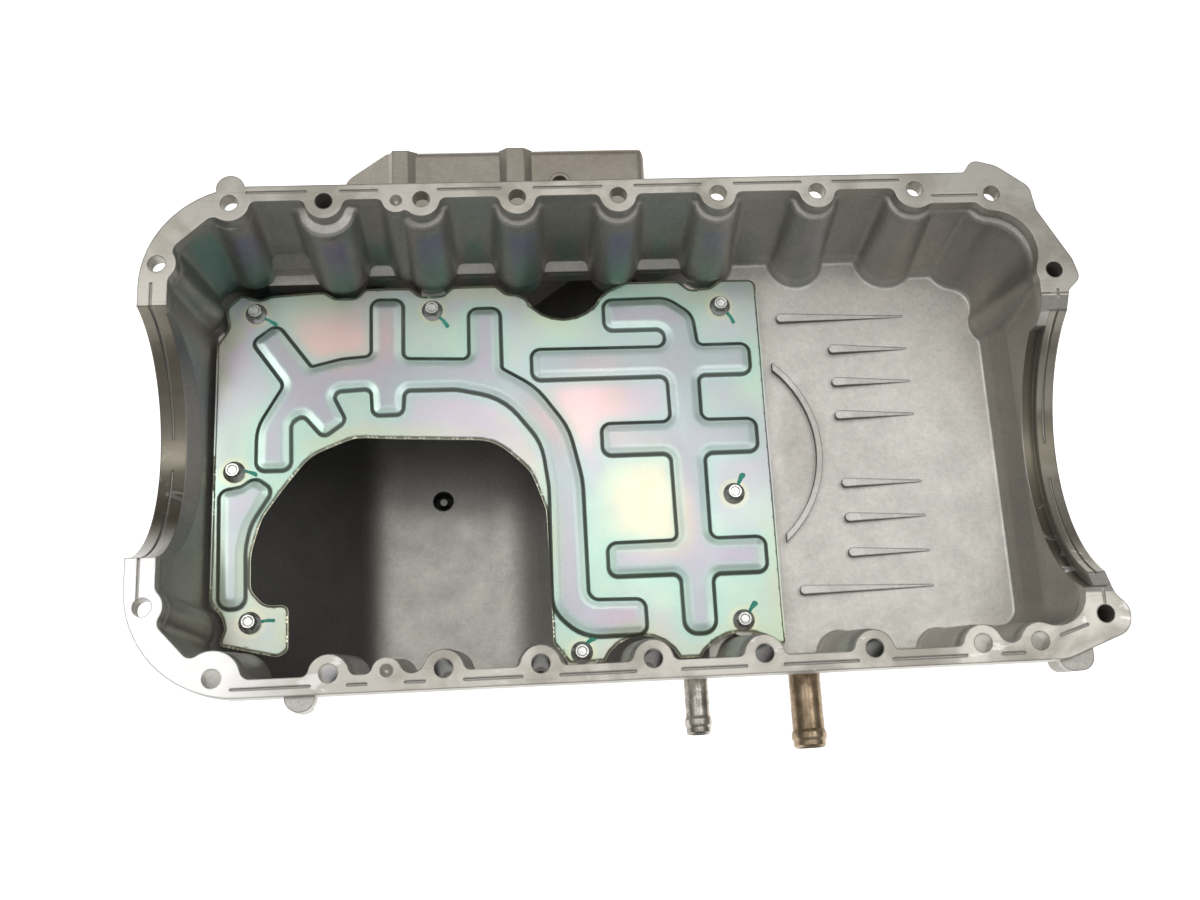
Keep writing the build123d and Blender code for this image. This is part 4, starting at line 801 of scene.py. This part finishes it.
# ------------------------------------------------------------------ floor and light
FZ = cad_box[0][2] - 0.002
fl = new_obj("floor", [(-4, -4, FZ), (4, -4, FZ), (4, 4, FZ), (-4, 4, FZ)], [(0, 1, 2, 3)], False)
gf = G("pale_floor")
fn = gf.noise(gf.pos, 40.0, 3.0, 0.5)
gf.set(color=gf.mix(fn, (0.86, 0.86, 0.85), (0.9, 0.9, 0.89)), metallic=0.0, rough=gf.remap(fn, 0.3, 0.7, 0.75, 0.9))
gf.bsdf.inputs["Emission Color"].default_value = (1.0, 1.0, 1.0, 1.0)
gf.bsdf.inputs["Emission Strength"].default_value = 0.85
fl.data.materials.append(gf.mat)

world = bpy.data.worlds.new("studio")
scene.world = world
world.use_nodes = True
wnt = world.node_tree
bg = wnt.nodes["Background"]
wtc = wnt.nodes.new("ShaderNodeTexCoord")
wsep = wnt.nodes.new("ShaderNodeSeparateXYZ")
wramp = wnt.nodes.new("ShaderNodeValToRGB")
wnt.links.new(wtc.outputs["Generated"], wsep.inputs[0])
wnt.links.new(wsep.outputs[2], wramp.inputs[0])
wnt.links.new(wramp.outputs[0], bg.inputs[0])
wramp.color_ramp.elements[0].position = 0.35
wramp.color_ramp.elements[0].color = (0.36, 0.36, 0.37, 1.0)
wramp.color_ramp.elements[1].position = 0.95
wramp.color_ramp.elements[1].color = (0.97, 0.98, 1.0, 1.0)
bg.inputs[1].default_value = 0.62


def area(name, loc, size, radiance, color=(1, 1, 1), size_y=None, target=None):
    d = bpy.data.lights.new(name, "AREA")
    d.shape = "RECTANGLE"
    d.size = size
    d.size_y = size_y or size
    d.energy = radiance * math.pi * size * (size_y or size)
    d.color = color
    o = bpy.data.objects.new(name, d)
    scene.collection.objects.link(o)
    o.location = Vector(loc) + OFF
    aim = Vector(target or (loc[0] * 0.6, loc[1] * 0.6, 0.0)) - Vector(loc)
    o.rotation_euler = aim.to_track_quat("-Z", "Y").to_euler()
    return o


area("middle_softbox", (0.08, 0.40, 1.5), 0.62, 2.9, (1.0, 0.99, 0.97), 0.24)
area("left_softbox", (-0.86, 0.42, 1.5), 0.42, 3.2, (1.0, 0.99, 0.97), 0.75)
area("far_fill", (0.15, 0.98, 1.5), 0.95, 0.7, (1.0, 0.99, 0.96), 0.42)
area("near_fill", (0.02, -0.02, 1.5), 0.75, 1.45, (0.98, 0.99, 1.0), 0.18)
area("right_softbox", (0.80, 0.12, 1.4), 0.5, 1.7, (1.0, 0.99, 0.97), 0.6)
